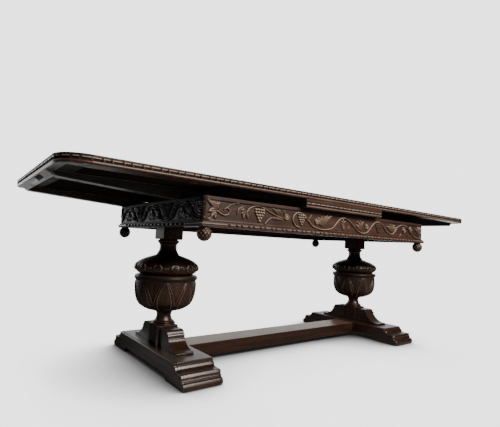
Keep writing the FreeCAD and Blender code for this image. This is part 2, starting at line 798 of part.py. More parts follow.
# Tapered bearer: its underside follows the draw, its inner arm runs under the centre board
def bearer(word, end, side_word, side):
    step = top_x + 4
    arm = rail_top - s.seat_gap - draw_slope * centre_x
    tip = bearer_outer - s.bearer_tip_run
    corners = [
        (end * bearer_inner, bearer_bottom(bearer_inner), 0),
        (end * tip, bearer_bottom(tip), 0.14 * end),
        (end * bearer_outer, leaf_under, 0),
        (end * step, leaf_under, 0),
        (end * step, arm + draw_slope * step, 0),
        (end * bearer_inner, arm + draw_slope * bearer_inner, 0),
    ]
    name = "%s_%s_bearer" % (word, side_word)
    blank = padded(name + "_blank", "XZ_Plane", corners, s.bearer_width)
    place(blank, 0, lane(end, side) + s.bearer_width / 2, 0)
    tools = []
    screws = []
    for i in (1, 2, 3):
        x = top_x + i * screw_reach
        spot = (end * x, lane(end, side))
        under = bearer_bottom(x)
        tools.append(rod("%s_hole_%d" % (name, i), s.screw_diameter + 2 * s.peg_play, leaf_under - under + 2,
                         *spot, under - 1))
        tools.append(rod("%s_sink_%d" % (name, i), s.screw_head + 2 * s.peg_play, s.screw_head_height + 4,
                         *spot, under - 2))
        shank = rod("%s_shank_%d" % (name, i), s.screw_diameter, leaf_under - under - 2 + s.screw_bite - 1,
                    *spot, under + 2)
        head = rod("%s_head_%d" % (name, i), s.screw_head, s.screw_head_height - 2.5, *spot, under + 2)
        screws.append(fuse("%s_screw_%d" % (name, i), shank, head))
    keep(cut(name + "_cut", blank, *tools), name)
    return screws


# Stop blocks beside the bearers, which meet the end rail when the leaf is fully out
def stops(word, end):
    x = frame_x - s.rail_thickness - s.stop_travel - s.stop_length / 2
    beside = (s.bearer_width + s.stop_width) / 2
    under = leaf_under - s.bearer_depth - 1
    blocks = [box("%s_stop_%s" % (word, name), (s.stop_length, s.stop_width, s.stop_height),
                  end * x, lane(end, side) - side * beside, under) for name, side in sides]
    keep(group(word + "_stop_group", blocks), word + "_leaf_stops")


for word, end in ends:
    leaf_panel(word, end)
    clamp(word, end)
    screws = []
    for side_word, side in sides:
        screws += bearer(word, end, side_word, side)
    keep(group(word + "_leaf_screw_group", screws), word + "_leaf_screws")
    stops(word, end)

doc.recompute()

for thing in doc.Objects:
    if "Invalid" in thing.State or "Error" in thing.State:
        raise RuntimeError("%s did not build" % thing.Label)
os.makedirs("parts", exist_ok=True)
for thing in subparts:
    if thing.Shape.isNull() or not thing.Shape.isValid():
        raise RuntimeError("%s has no valid shape" % thing.Label)
    thing.Shape.exportStep("parts/%s.step" % thing.Label)
    print("%-22s %10.1f cm3  %d solid(s)" % (thing.Label, thing.Shape.Volume / 1000, len(thing.Shape.Solids)))
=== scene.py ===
import math
import bpy
import numpy as np
from mathutils import Matrix


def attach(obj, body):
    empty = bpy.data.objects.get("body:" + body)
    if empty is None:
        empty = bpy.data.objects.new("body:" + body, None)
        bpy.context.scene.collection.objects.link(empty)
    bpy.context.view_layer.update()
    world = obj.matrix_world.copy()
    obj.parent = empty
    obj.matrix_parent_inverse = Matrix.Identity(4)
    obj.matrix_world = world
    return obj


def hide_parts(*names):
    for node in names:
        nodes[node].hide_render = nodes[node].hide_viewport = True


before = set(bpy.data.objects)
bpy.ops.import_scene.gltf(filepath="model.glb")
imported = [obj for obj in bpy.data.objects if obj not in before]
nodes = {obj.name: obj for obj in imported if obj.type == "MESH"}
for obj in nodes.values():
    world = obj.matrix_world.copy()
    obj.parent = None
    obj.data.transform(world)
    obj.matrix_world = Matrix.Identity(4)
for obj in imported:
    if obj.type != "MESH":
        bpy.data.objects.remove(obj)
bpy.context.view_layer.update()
mm = 0.001

# Shared mesh tools


# mesh from rows of points in millimetres, each a closed loop; the first and last are capped, and all is
# turned over if the volume comes out negative
def makePiece(name, grid, wear, finish=None):
    rows, columns = grid.shape[:2]
    points = grid.reshape(-1, 3) * mm
    start, column = np.meshgrid(np.arange(rows - 1) * columns, np.arange(columns), indexing="ij")
    ahead = (column + 1) % columns
    corners = [start + column, start + ahead, start + columns + ahead, start + columns + column]
    quads = np.stack(corners, -1).reshape(-1, 4)
    caps = np.stack([np.arange(columns)[::-1], (rows - 1) * columns + np.arange(columns)])
    a, b, c, d = [points[quads[:, k]] for k in range(4)]
    volume = np.sum(a * (np.cross(b, c) + np.cross(c, d)))
    for cap in points[caps]:
        volume += np.sum(cap[0] * np.cross(cap[1:-1], cap[2:]))
    if volume < 0:
        quads, caps = quads[:, ::-1], caps[:, ::-1]
    loops = np.concatenate([quads.ravel(), caps.ravel()])
    counts = np.array([4] * len(quads) + [columns] * len(caps))
    mesh = bpy.data.meshes.new(name)
    mesh.vertices.add(len(points))
    mesh.vertices.foreach_set("co", points.ravel())
    mesh.loops.add(len(loops))
    mesh.loops.foreach_set("vertex_index", loops.astype(np.int32))
    mesh.polygons.add(len(counts))
    mesh.polygons.foreach_set("loop_start", (np.cumsum(counts) - counts).astype(np.int32))
    mesh.polygons.foreach_set("use_smooth", np.arange(len(counts)) < len(quads))
    if finish is not None:
        mesh.polygons.foreach_set("material_index", np.append(finish, np.zeros(len(caps))).astype(np.int32))
    mesh.update(calc_edges=True)
    mesh.validate()
    layer = mesh.attributes.new("wear", "FLOAT", "POINT")
    layer.data.foreach_set("value", np.asarray(wear, np.float32).ravel())
    piece = bpy.data.objects.new(name, mesh)
    bpy.context.scene.collection.objects.link(piece)
    return piece


# hangs a piece on its body, gives it its finish and hides the nodes that it stands for
def dress(piece, body, slot, material, *stoodFor, under=None):
    piece.data.materials.append(material)
    if under:
        piece.data.materials.append(under)
    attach(piece, body)
    if stoodFor:
        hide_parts(*stoodFor)


# smooth step from 0 to 1 between two values
def ease(low, high, value):
    f = np.clip((value - low) / (high - low), 0, 1)
    return f * f * (3 - 2 * f)


# a bell of height 1 about a centre
def bell(value, centre, width):
    return np.exp(-((value - centre) / width) ** 2)


# a curve through points: cubic between each two, with the slope of their neighbours
def through(points, steps):
    p = np.asarray(points, float)
    p = np.concatenate([2 * p[:1] - p[1:2], p, 2 * p[-1:] - p[-2:-1]])
    f = np.linspace(0, len(p) - 3, steps)
    k = np.minimum(f.astype(int), len(p) - 4)
    f = (f - k)[:, None]
    a, b, c, d = p[k], p[k + 1], p[k + 2], p[k + 3]
    return b + 0.5 * f * (c - a + f * (2 * a - 5 * b + 4 * c - d + f * (3 * (b - c) + d - a)))


# runs of points that meet at sharp corners: each a smooth curve of so many steps, or straight with 0 steps
def profileOf(runs):
    return np.concatenate([through(run, steps) if steps else np.asarray(run, float) for run, steps in runs])


# Finishes


# a socket that can be added, scaled and so on; every other node comes from node()
class Wire:
    tree = None

    def __init__(self, socket):
        self.socket = socket

    @classmethod
    def node(cls, kind, settings=None, links=None, out=0):
        made = cls.tree.nodes.new(kind)
        for key, value in (settings or {}).items():
            if key == "stops":
                ramp = made.color_ramp
                while len(ramp.elements) < len(value):
                    ramp.elements.new(0.5)
                for stop, (place, colour) in zip(ramp.elements, value):
                    stop.position, stop.color = place, (*colour, 1)
            else:
                setattr(made, key, value)
        for key, value in (links or {}).items():
            target = made.inputs[key]
            if isinstance(value, Wire):
                cls.tree.links.new(value.socket, target)
            else:
                target.default_value = value
        return cls(made.outputs[out] if made.outputs else None)

    @classmethod
    def sum(cls, operation, *values):
        return cls.node("ShaderNodeMath", {"operation": operation}, dict(enumerate(values)))

    def __add__(self, other):
        return Wire.sum("ADD", self, other)

    def __sub__(self, other):
        return Wire.sum("SUBTRACT", self, other)

    def __rsub__(self, other):
        return Wire.sum("SUBTRACT", other, self)

    def __mul__(self, other):
        return Wire.sum("MULTIPLY", self, other)

    def __pow__(self, other):
        return Wire.sum("POWER", self, other)

    __radd__ = __add__
    __rmul__ = __mul__

    # 0 to 1 between two values
    def between(self, low, high):
        smooth = {"interpolation_type": "SMOOTHSTEP"}
        return Wire.node("ShaderNodeMapRange", smooth, {0: self, 1: low, 2: high})

    def mix(self, first, second):
        return Wire.node("ShaderNodeMix", {"data_type": "RGBA"}, {0: self, 6: first, 7: second}, 2)


# an empty material; its tree takes the nodes that follow
def newMaterial(name):
    material = bpy.data.materials.new(name)
    material.use_nodes = True
    Wire.tree = material.node_tree
    Wire.tree.nodes.clear()
    return material


# each pattern's scale along and across the grain, detail, roughness and shift; then how strongly they show
wood = {"board": (1.1, 5.0, 2.0, 0.5, 3.7), "figure": (4.0, 62.0, 5.0, 0.62, 0.0),
        "pores": (24.0, 900.0, 2.0, 0.5, 0.0), "mottle": (14.0, 14.0, 4.0, 0.6, 9.1),
        "tone": (0.62, 0.3, 0.18), "stops": (0.3, 0.53, 0.78), "poreInk": 0.55, "shadeAndDarkInk": 0.92,
        "coatRough": 0.28, "bumpDeep": 0.0006}


# dark stained oak: grain and pores drawn out along one axis, pale on wear and painted highlights, near black
# on painted shade
def oak(name, grain, colours, gloss, coat=0.0, sheen=0.5, bump=0.12, arris=0.0, pored=1.0, dull=0.0):
    material = newMaterial(name)
    place = Wire.node("ShaderNodeTexCoord", out=3)

    def streaks(pattern):
        along, across, detail, rough, shift = wood[pattern]
        scale = [across] * 3
        scale["XYZ".index(grain)] = along
        moved = {"Vector": place, "Scale": scale, "Location": [shift] * 3}
        spot = Wire.node("ShaderNodeMapping", links=moved)
        return Wire.node("ShaderNodeTexNoise", {"noise_dimensions": "3D"}, {
            "Vector": spot, "Scale": 1.0, "Detail": detail, "Roughness": rough, "Distortion": 0.6})

    board, figure, pores, mottle = [streaks(pattern) for pattern in ("board", "figure", "pores", "mottle")]
    wear = Wire.node("ShaderNodeAttribute", {"attribute_name": "wear"}, out=2)
    if arris:                                           # sawn pieces: the sharp edges made pale, as edge wear and a painted highlight
        soft = Wire.node("ShaderNodeBevel", {"samples": 8}, {"Radius": arris})
        sharp = Wire.node("ShaderNodeNewGeometry", out=1)
        along = Wire.node("ShaderNodeVectorMath", {"operation": "DOT_PRODUCT"}, {0: soft, 1: sharp}, 1)
        wear = wear + (1 - along).between(0.01, 0.16)
    high = wear.between(0.12, 0.95)
    low = (0 - wear).between(0.05, 0.9)
    figureShare, boardShare, mottleShare = wood["tone"]
    tone = figure * figureShare + board * boardShare + mottle * mottleShare
    stops = list(zip(wood["stops"], (colours["dark"], colours["mid"], colours["light"])))
    plain = Wire.node("ShaderNodeValToRGB", {"stops": stops}, {"Fac": tone})
    pore = pored * pores.between(0.6, 0.72)
    poreInk = (*[0.35 * c for c in colours["dark"]], 1)
    shadeAndDarkInk = (*[0.22 * c for c in colours["dark"]], 1)
    colour = (pore * wood["poreInk"]).mix(plain, poreInk)
    # pale where the mark is high: wear, and painted highlights, sheen and reflections
    colour = (high * (0.45 + mottle * 0.6)).mix(colour, (*colours["wornAndLit"], 1))
    # near black where the mark is low: painted shade, and darker tone in places
    colour = (low * wood["shadeAndDarkInk"]).mix(colour, shadeAndDarkInk)
    rough = gloss + 0.16 * mottle + 0.1 * pore + 0.35 * low - 0.05 * high
    if dull:                                            # level tops are waxed and used, not polished
        normal = Wire.node("ShaderNodeNewGeometry", out=1)
        facing = Wire.node("ShaderNodeSeparateXYZ", links={"Vector": normal}, out=2)
        rough = rough + dull * facing.between(0.9, 1.0)
    relief = figure * 0.5 - pore * 0.9 + mottle * 0.4
    grainBump = Wire.node("ShaderNodeBump", links={
        "Strength": bump, "Distance": wood["bumpDeep"], "Height": relief})
    shader = Wire.node("ShaderNodeBsdfPrincipled", links={
        "Base Color": colour, "Roughness": rough, "Normal": grainBump, "Coat Weight": coat,
        "Coat Roughness": wood["coatRough"], "IOR": 1.5, "Specular IOR Level": sheen})
    Wire.node("ShaderNodeOutputMaterial", links={"Surface": shader})
    return material


warmOak = {"dark": (0.014, 0.006, 0.0038), "mid": (0.058, 0.027, 0.0165),
           "light": (0.118, 0.058, 0.036), "wornAndLit": (0.48, 0.355, 0.27)}
deepOak = {"dark": (0.005, 0.0021, 0.0012), "mid": (0.0235, 0.0092, 0.0044),
           "light": (0.056, 0.023, 0.0112), "wornAndLit": (0.3, 0.19, 0.125)}
# edgeOak: a paler pale colour, for the painted highlights and reflections on the gouged edges
edgeOak = {**warmOak, "wornAndLit": (0.6, 0.47, 0.38)}
# shadedGreyOak: a greyer, darker copy of the oak for the short sides: painted shade, with a grey painted
# sheen
shadedGreyOak = {"dark": (0.005, 0.0042, 0.0038), "mid": (0.013, 0.011, 0.01),
           "light": (0.028, 0.0245, 0.0225), "wornAndLit": (0.34, 0.325, 0.315)}
# innerOak's near-white pale colour draws the painted highlights along the bearers' and saddles' sharp edges
innerOak = {"dark": (0.012, 0.0098, 0.008), "mid": (0.036, 0.03, 0.025),
            "light": (0.064, 0.055, 0.047), "wornAndLit": (0.8, 0.76, 0.71)}
# litPaleOak: a pale grey copy of the oak for the leaf clamps' undersides: painted light, as if lit from below
litPaleOak = {"dark": (0.075, 0.07, 0.065), "mid": (0.15, 0.143, 0.135),
           "light": (0.24, 0.23, 0.22), "wornAndLit": (0.5, 0.49, 0.47)}
sawnOak = {"dark": (0.009, 0.007, 0.0058), "mid": (0.021, 0.0165, 0.0135),
           "light": (0.04, 0.032, 0.026), "wornAndLit": (0.06, 0.045, 0.035)}
topOakX = oak("topOakX", "X", edgeOak, 0.28, sheen=0.3, dull=0.3)
topOakY = oak("topOakY", "Y", edgeOak, 0.28, sheen=0.3, dull=0.3)
friezeOakX = oak("friezeOakX", "X", warmOak, 0.28, sheen=0.3)
friezeOakY = oak("friezeOakY", "Y", shadedGreyOak, 0.18, sheen=0.36)
railOakX = oak("railOakX", "X", warmOak, 0.3, arris=0.002)
railOakY = oak("railOakY", "Y", shadedGreyOak, 0.3, arris=0.002)
turnedOak = oak("turnedOak", "Z", deepOak, 0.28, coat=0.1, sheen=0.38, bump=0.04, pored=0.2)
capOak = oak("capOak", "Z", deepOak, 0.34, sheen=0.2, bump=0.04, pored=0.2)
baseOakX = oak("baseOakX", "X", deepOak, 0.26, coat=0.15, sheen=0.35, bump=0.02, pored=0.12)
baseOakY = oak("baseOakY", "Y", deepOak, 0.24, coat=0.3, bump=0.02, pored=0.12)
paleOakY = oak("paleOakY", "Y", litPaleOak, 0.4, sheen=0.3)
sawnOakX = oak("sawnOakX", "X", sawnOak, 0.72, sheen=0.0)
innerOakX = oak("innerOakX", "X", innerOak, 0.36, arris=0.0014)
# a darker copy of the bearers' oak for the right bearers: painted shade under the top
shadedBearerOakX = oak("shadedBearerOakX", "X", sawnOak, 0.5, sheen=0.15, arris=0.001)
innerOakY = oak("innerOakY", "Y", innerOak, 0.45, arris=0.0025)


def dullSteel():
    material = newMaterial("dullSteel")
    place = Wire.node("ShaderNodeTexCoord", out=3)
    spots = Wire.node("ShaderNodeTexNoise", links={"Vector": place, "Scale": 420.0, "Detail": 4.0})
    colour = spots.between(0.4, 0.7).mix((0.12, 0.115, 0.11, 1), (0.3, 0.29, 0.28, 1))
    shader = Wire.node("ShaderNodeBsdfPrincipled", links={
        "Base Color": colour, "Metallic": 1.0, "Roughness": 0.35 + spots * 0.3})
    Wire.node("ShaderNodeOutputMaterial", links={"Surface": shader})
    return material


# nodes whose own shape is right keep it and take a finish
leftBearers = ["left_front_bearer", "left_back_bearer"]
rightBearers = ["right_front_bearer", "right_back_bearer"]
cornerPosts = [f"{a}_{b}_corner_post" for a in ("front", "back") for b in ("left", "right")]
keptNodes = [
    (innerOakX, leftBearers + ["left_leaf_stops", "right_leaf_stops", "top_pegs", "stretcher_pegs"]),
    (shadedBearerOakX, rightBearers),
    (innerOakY, ["left_saddle", "right_saddle"]),
    (railOakX, ["front_rail", "back_rail"] + cornerPosts),
    (railOakY, ["left_end_rail", "right_end_rail"]),
    (dullSteel(), ["centre_board_screws", "left_leaf_screws", "right_leaf_screws"]),
]
bearerEdge = {"width": 0.0012, "segments": 2, "limit_method": "ANGLE", "angle_limit": math.radians(50)}
for finish, names in keptNodes:
    for name in names:
        for holder in nodes[name].material_slots:
            holder.material = finish
for name in leftBearers + rightBearers:
    soft = nodes[name].modifiers.new("easedEdges", "BEVEL")
    for key, value in bearerEdge.items():
        setattr(soft, key, value)
print("finishes ready")

# Gouge-cut edge shared by the top, the leaves and the centre board

edge = {"bead": 10.6, "band": 9.6, "cut": 4.8, "slots": (30.0, 20.5), "gap": 4.8, "soft": 1.7, "lean": 0.7,
        "heel": 0.16, "step": 2.0, "bevel": 1.4}


# slots one after another along a line, with lands between them: 1 in a slot, 0 on a land
def slots(along, lengths, gap, soft):
    q = np.mod(along, sum(lengths) + gap * len(lengths))
    mask = np.zeros_like(q)
    start = 0.0
    for length in lengths:
        mask = mask + ease(0, soft, q - start) * ease(0, soft, start + length - q)
        start += length + gap
    return mask


# slanted gouge cuts: steep below, sloping out to the face above; up runs 0 to 1 over the band
def gouges(along, up):
    slanted = along + edge["lean"] * edge["band"] * (up - 0.5)
    mask = slots(slanted, edge["slots"], edge["gap"], edge["soft"])
    return mask, mask * np.clip(np.minimum(up / edge["heel"], (1 - up) / (1 - edge["heel"])), 0, 1)


# the edge's section from the underside up: height over the underside, inset and place in the gouged band
def edgeRows(thick):
    bead = edge["bead"] / 2
    turn = np.radians(np.linspace(-90, 80, 10))
    beadUp = bead + bead * np.sin(turn)
    beadIn = bead - bead * np.cos(turn)
    bandUp = edge["bead"] + 0.3 + edge["band"] * np.array([0, 0.04, 0.16, 0.3, 0.45, 0.6, 0.75, 0.9, 1.0])
    plain = edge["bead"] + edge["band"] + 0.9
    faceUp = [plain, thick - 2.4, thick - 1.2, thick - 0.4, thick, thick]
    faceIn = [0.0, 0.0, 0.35, 1.2, 2.4, 6.0]
    up = np.concatenate([beadUp, [edge["bead"]], bandUp, faceUp])
    inset = np.concatenate([beadIn, [3.4], np.full(len(bandUp), 0.8), faceIn])
    share = np.concatenate([np.full(11, -1.0), (bandUp - bandUp[0]) / edge["band"], np.full(6, -1.0)])
    return up, inset, share


# height, inset and marks of wear and painted light of the whole edge at distances along it
def edgeCut(along, thick):
    up, inset, share = edgeRows(thick)
    band = share >= 0
    mask, cut = gouges(along[:, None], np.clip(share, 0, 1))
    mask, cut = np.where(band, mask, 0), np.where(band, cut, 0)
    # each slot's upper slope painted pale as a reflection, its deep part painted black as shade
    pale = 1.3 * ease(0.66, 0.8, share) - 1.5 * ease(0.76, 0.6, share)
    wear = np.where(band, mask * pale - 0.45 * (1 - mask), 0)
    wear[:, 5:9] += 0.38                                # upper half of the bead painted pale: a painted highlight
    wear[:, 10] = -0.6                                  # darker in the crease above the bead
    wear[:, -6:-3] -= 0.4                               # dark plain strip
    return up, inset + edge["cut"] * cut, wear


# board along x with gouged long edges: at each x a closed loop of front edge, top, back edge and underside,
# which is left rough inside a planed border
def edgedBoard(name, low, high, half, base, thick, border):
    bevel = edge["bevel"]
    inner = np.arange(low + bevel, high - bevel, edge["step"])
    x = np.concatenate([[low, low + 0.6], inner, [high - bevel, high - 0.6, high]])
    up, inset, wear = edgeCut(x, thick)
    ends = np.clip(1 - np.minimum(x - low, high - x) / bevel, 0, 1)[:, None]  # small bevel where boards meet
    out = half - inset - 1.3 * ends
    z = base + up - 1.0 * ends * (up > thick - 3) + 0 * out
    front = np.stack([x[:, None] + 0 * out, -out, z], -1)
    back = np.stack([x[:, None] + 0 * out, out, z], -1)[:, ::-1]
    planed = half - edge["bead"] - border
    below = np.stack([np.stack([x, 0 * x + planed * side, 0 * x + base], -1) for side in (1, -1)], 1)
    loop = np.concatenate([front, back, below], 1)
    rough = np.tile(np.arange(loop.shape[1]) == loop.shape[1] - 2, len(x) - 1)
    return makePiece(name, loop, np.concatenate([wear, wear[:, ::-1], np.zeros((len(x), 2))], 1), rough)


top = {"half": 460.0, "base": 732.0, "thick": 28.0, "reach": 707.5, "joint": 708.2, "clampJoint": 1142.8,
       "border": 2.0, "leafBorder": 64.0}
centre = {"reach": 272.0, "base": 694.0, "thick": 37.8}
boards = (
    ("mainTop", -top["reach"], top["reach"], "main_top", "main_top", "border"),
    ("leftLeafPanel", -top["clampJoint"], -top["joint"], "left_leaf", "left_leaf_panel", "leafBorder"),
    ("rightLeafPanel", top["joint"], top["clampJoint"], "right_leaf", "right_leaf_panel", "leafBorder"))
for name, low, high, body, node, border in boards:
    piece = edgedBoard(name, low, high, top["half"], top["base"], top["thick"], top[border])
    dress(piece, body, "oak_top", topOakX, node, under=sawnOakX)
piece = edgedBoard("centreBoard", -centre["reach"], centre["reach"], top["half"], centre["base"],
                   centre["thick"], top["border"])
dress(piece, "frame", "oak_top", topOakX, "centre_board", under=sawnOakX)

clamp = {"inner": 1143.2, "end": 1230.0, "half": 460.0, "radius": 85.0, "border": 395.0, "bevel": 1.2}
fingerRail = {"back": 1192.0, "foot": 1197.0, "tip": 1224.5, "fall": 16.0, "middle": 41.5, "reach": 286.5,
              "pullBack": 1203.0, "pullFront": 1220.5, "pullReach": 125.0, "pullDeep": 70.0, "pullLift": 13.0,
              "corner": 0.4}


# clamped leaf end: lines across it at each place along the rounded rim, over the top, down the gouged rim and
# back below to the joint; a sloping finger rail hangs between the bearers, over the tip of one, with a pull
# let into it
def leafClamp(name, end):
    c, r, f = clamp, clamp["radius"], fingerRail
    straight = c["half"] - r
    near = f["corner"]
    lead = np.array([c["inner"], c["inner"] + c["bevel"]])
    arc = np.radians(np.linspace(0, 90, 56))
    marks = [sign * (mark + shift) for sign in (-1, 1) for mark in (f["pullReach"], f["pullDeep"])
             for shift in (-near, near)]
    side = np.sort(np.concatenate([np.arange(-straight + 2, straight - 1, edge["step"]), marks]))
    turnX = c["end"] - r + r * np.sin(arc)
    rimX = np.concatenate([lead, turnX, np.full(len(side), c["end"]), turnX[::-1], lead[::-1]])
    rimY = np.concatenate([[-c["half"]] * 2, -straight - r * np.cos(arc), side, straight + r * np.sin(arc),
                           [c["half"]] * 2])
    outX = np.concatenate([[0, 0], np.sin(arc), np.ones(len(side)), np.cos(arc), [0, 0]])
    outY = np.concatenate([[-1, -1], -np.cos(arc), np.zeros(len(side)), np.sin(arc), [1, 1]])
    along = np.concatenate([[0], np.cumsum(np.hypot(np.diff(rimX), np.diff(rimY)))])
    up, inset, wear = edgeCut(along, top["thick"])
    x = np.maximum(rimX[:, None] - inset * outX[:, None], c["inner"])
    y = rimY[:, None] - inset * outY[:, None]
    z = top["base"] + up + 0 * x
    # top from rim to joint and underside from joint to rim
    level = top["base"] + top["thick"] + 0 * rimX
    topX = np.stack([c["inner"] + c["bevel"] + 0 * rimX, c["inner"] + 0 * rimX], 1)
    topZ = np.stack([level, level - 1.0], 1)
    across = np.array([c["inner"], f["back"], f["back"] + 0.8, f["foot"] - 1, f["foot"] + 1,
                       f["pullBack"] - near, f["pullBack"] + near, f["pullFront"] - 4,
                       f["pullFront"] - near, f["pullFront"] + near, f["tip"]])
    underX = np.minimum(across[None], x[:, :1])
    slope = np.minimum((underX - f["back"]) / 0.8, (f["tip"] - underX) / (f["tip"] - f["foot"]))
    hang = f["fall"] * np.clip(slope, 0, 1)
    between = np.abs(rimY + end * f["middle"])[:, None] < f["reach"]
    ahead = -end * rimY[:, None]
    inside = (underX > f["pullBack"]) & (underX < f["pullFront"]) & (np.abs(ahead) < f["pullReach"])
    shallow = 0.75 * ease(f["pullReach"], -f["pullDeep"], ahead)
    cut = f["pullLift"] * np.where(ahead < -f["pullDeep"], 1, shallow)
    underZ = top["base"] - np.where(between, hang - inside * np.minimum(cut, hang + 8), 0)
    flatY = np.clip(y[:, :1], -c["half"] + 5, c["half"] - 5)
    loopX = np.concatenate([x, topX, underX], 1)
    loopY = np.concatenate([y, np.repeat(y[:, -1:], 2, 1), np.repeat(flatY, len(across), 1)], 1)
    loopZ = np.concatenate([z, topZ, underZ], 1)
    points = np.stack([end * loopX, loopY, loopZ], -1)
    railShadow = np.where((np.abs(flatY) < c["border"]) & (underX < f["back"] + 2), -1.2, 0)   # painted shadow on the underside behind the rail
    # a pale line along the foot of the rail: a painted highlight
    arris = 0.7 * between * (np.abs(underX - f["foot"]) < 1.5)
    # in the pull: its floor painted pale as lit, its deep end painted black as shadow
    below = np.where(inside, 1.0 - 2.8 * ease(12, 4, ahead), railShadow + arris)
    rubAndGlint = (np.arange(x.shape[1]) < 9) * (outX ** 8)[:, None]    # the end's bead painted bright: a painted highlight
    wornAndLit = np.concatenate([wear - 0.35 + rubAndGlint, np.zeros((len(rimX), 2)), below], 1)
    return makePiece(name, points, wornAndLit, np.tile(np.arange(points.shape[1]) >= x.shape[1] + 2, len(rimX) - 1))


dress(leafClamp("leftLeafClamp", -1), "left_leaf", "oak_top", topOakY, "left_leaf_clamp", under=paleOakY)
dress(leafClamp("rightLeafClamp", 1), "right_leaf", "oak_top", topOakY, "right_leaf_clamp", under=paleOakY)
print("top, leaves and centre board cut")

# Frieze carving: a sheet of heights laid round the frieze box

frieze = {"x": 746.0, "y": 419.0, "corner": 16.0, "low": 603.2, "high": 693.8, "step": 1.7, "band": 679.0,
          "foot": 610.0, "leafWide": 1.22, "behind": 3.0, "punch": 0.4,
          # the short sides' sunk ground and borders are made much darker: painted shade on the end faces
          "long": {"deep": 1.4, "base": 0.8, "groove": 0.8, "groundDark": 0.32, "borderShade": 0.15},
          "short": {"deep": 1.7, "base": 2.3, "groove": 2.2, "groundDark": 0.5, "borderShade": 0.8}}


# heights over a field of (along, up) in millimetres; each stroke raises the field where it is higher
class Relief:
    def __init__(self, along, up):
        self.s, self.z = np.meshgrid(along, up, indexing="ij")
        self.h = np.zeros_like(self.s)
        self.dip = np.zeros_like(self.s)
        # shine: painted highlights, and painted dark where below 0
        self.shine = np.zeros_like(self.s)

    # the stretch of the field within reach of some points, which may be empty
    def near(self, points, reach):
        low, high = points.min(0) - reach, points.max(0) + reach
        rows = np.nonzero((self.s[:, 0] > low[0]) & (self.s[:, 0] < high[0]))[0]
        columns = np.nonzero((self.z[0] > low[1]) & (self.z[0] < high[1]))[0]
        return np.ix_(rows, columns)

    def put(self, spot, height):
        self.h[spot] = np.maximum(self.h[spot], height)

    # dip: a sunk outline round a stroke, cut in and painted dark as shade
    def sink(self, spot, depth):
        self.dip[spot] = np.maximum(self.dip[spot], depth)

    # distance of each place of the field from the nearest of some points, in shares of their radius
    def apart(self, spot, points, radius):
        gap = np.hypot(self.s[spot][..., None] - points[:, 0], self.z[spot][..., None] - points[:, 1])
        return (gap / radius).min(-1)

    # a round stem along a curve, thick at its start and thin at its end, or two ridges with a hollow between
    def stem(self, points, wide=3.4, thin=2.0, height=4.2, steps=70, hollow=False):
        line = through(points, steps)
        spot = self.near(line, wide + 5)
        f = self.apart(spot, line, np.linspace(wide, thin, steps))
        section = bell(f, 0.75, 0.2) * (f < 1) if hollow else np.sqrt(np.clip(1 - f * f, 0, 1))
        self.put(spot, height * section)
        self.sink(spot, np.where(f > 1, ease(1.9, 1.05, f), ease(0.5, 0.3, f) * hollow))

    # a pointed leaf from base to tip: a dome with a sunk midrib and slanted veins, bent sideways by bend
    def leaf(self, base, tip, wide, height=4.6, bend=0.0, veins=0.5):
        base, tip = np.asarray(base, float), np.asarray(tip, float)
        spot = self.near(np.stack([base, tip]), wide + abs(bend) + 5)
        span = tip - base
        length = np.hypot(*span)
        unit = span / length
        ds, dz = self.s[spot] - base[0], self.z[spot] - base[1]
        t = (ds * unit[0] + dz * unit[1]) / length
        v = -ds * unit[1] + dz * unit[0] - bend * 4 * t * (1 - t)
        tc = np.clip(t, 0.0, 1.0)
        half = wide * np.sin(np.pi * tc ** 0.75) ** 0.8 + 0.01
        f = np.abs(v) / half
        dome = height * np.sqrt(np.clip(1 - f * f, 0, 1)) * (0.55 + 0.45 * tc)
        ripple = 0.5 + 0.5 * np.sin((t * length - np.abs(v)) * 1.15)
        dome = dome - 1.3 * bell(v, 0, 1.3) - veins * ripple * (f < 0.95)
        within = (t > 0) & (t < 1)
        self.put(spot, np.where(within & (f < 1), np.maximum(dome, 0.6), 0))
        self.sink(spot, ease(1.5, 1.05, f) * within * (f > 1))

    # round beads, each a half ball, with a painted highlight on top or, below 0, painted dark as shade
    def beads(self, centres, radius, height, rubAndGlint=1.0):
        centres = np.asarray(centres, float)
        spot = self.near(centres, radius + 3)
        d = self.apart(spot, centres, radius)
        self.put(spot, height * np.sqrt(np.clip(1 - d * d, 0, 1)))
        self.sink(spot, 1.2 * ease(1.5, 1.0, d) * (d > 0.9))
        if rubAndGlint > 0:
            self.shine[spot] = np.maximum(self.shine[spot], rubAndGlint * ease(0.75, 0.35, d))
        else:
            self.shine[spot] = self.shine[spot] + rubAndGlint * (d < 1)

    # a hanging bunch of grapes: rows of beads that shorten towards the bottom
    def grapes(self, centre, wide=46.0, tall=46.0, radius=6.2, rubAndGlint=1.0):
        fall = radius * 1.75
        rows = np.arange(int(tall / fall) + 1)
        spots = []
        for row in rows:
            share = row / max(rows[-1], 1)
            count = max(1, int(round(wide / (2 * radius) * (1 - 0.7 * share ** 1.8))))
            xs = (np.arange(count) - (count - 1) / 2) * radius * 2.02 + centre[0]
            spots.append(np.stack([xs, np.full(count, centre[1] + tall / 2 - row * fall)], 1))
        self.beads(np.concatenate(spots), radius * 0.93, 6.2, rubAndGlint)

    # a curl that winds inwards from a start angle
    def curl(self, centre, outer, inner, start, turns, wide=3.0, height=4.2):
        t = np.linspace(0, 1, 26)
        angle = np.radians(start) + 2 * np.pi * turns * t
        r = outer + (inner - outer) * t
        line = np.stack([centre[0] + r * np.cos(angle), centre[1] + r * np.sin(angle)], 1)
        self.stem(line, wide, wide * 0.75, height)
        self.beads([centre], inner * 0.9 + 1.5, height)

    # a fan of leaves from one base; each leaf is (angle, length, width)
    def spray(self, base, leaves, height=4.8):
        for angle, length, wide in leaves:
            a = math.radians(angle)
            tip = (base[0] + length * math.cos(a), base[1] + length * math.sin(a))
            bend = 0.12 * length * (1 if math.cos(a) > 0 else -1)
            self.leaf(base, tip, frieze["leafWide"] * wide, height, bend)


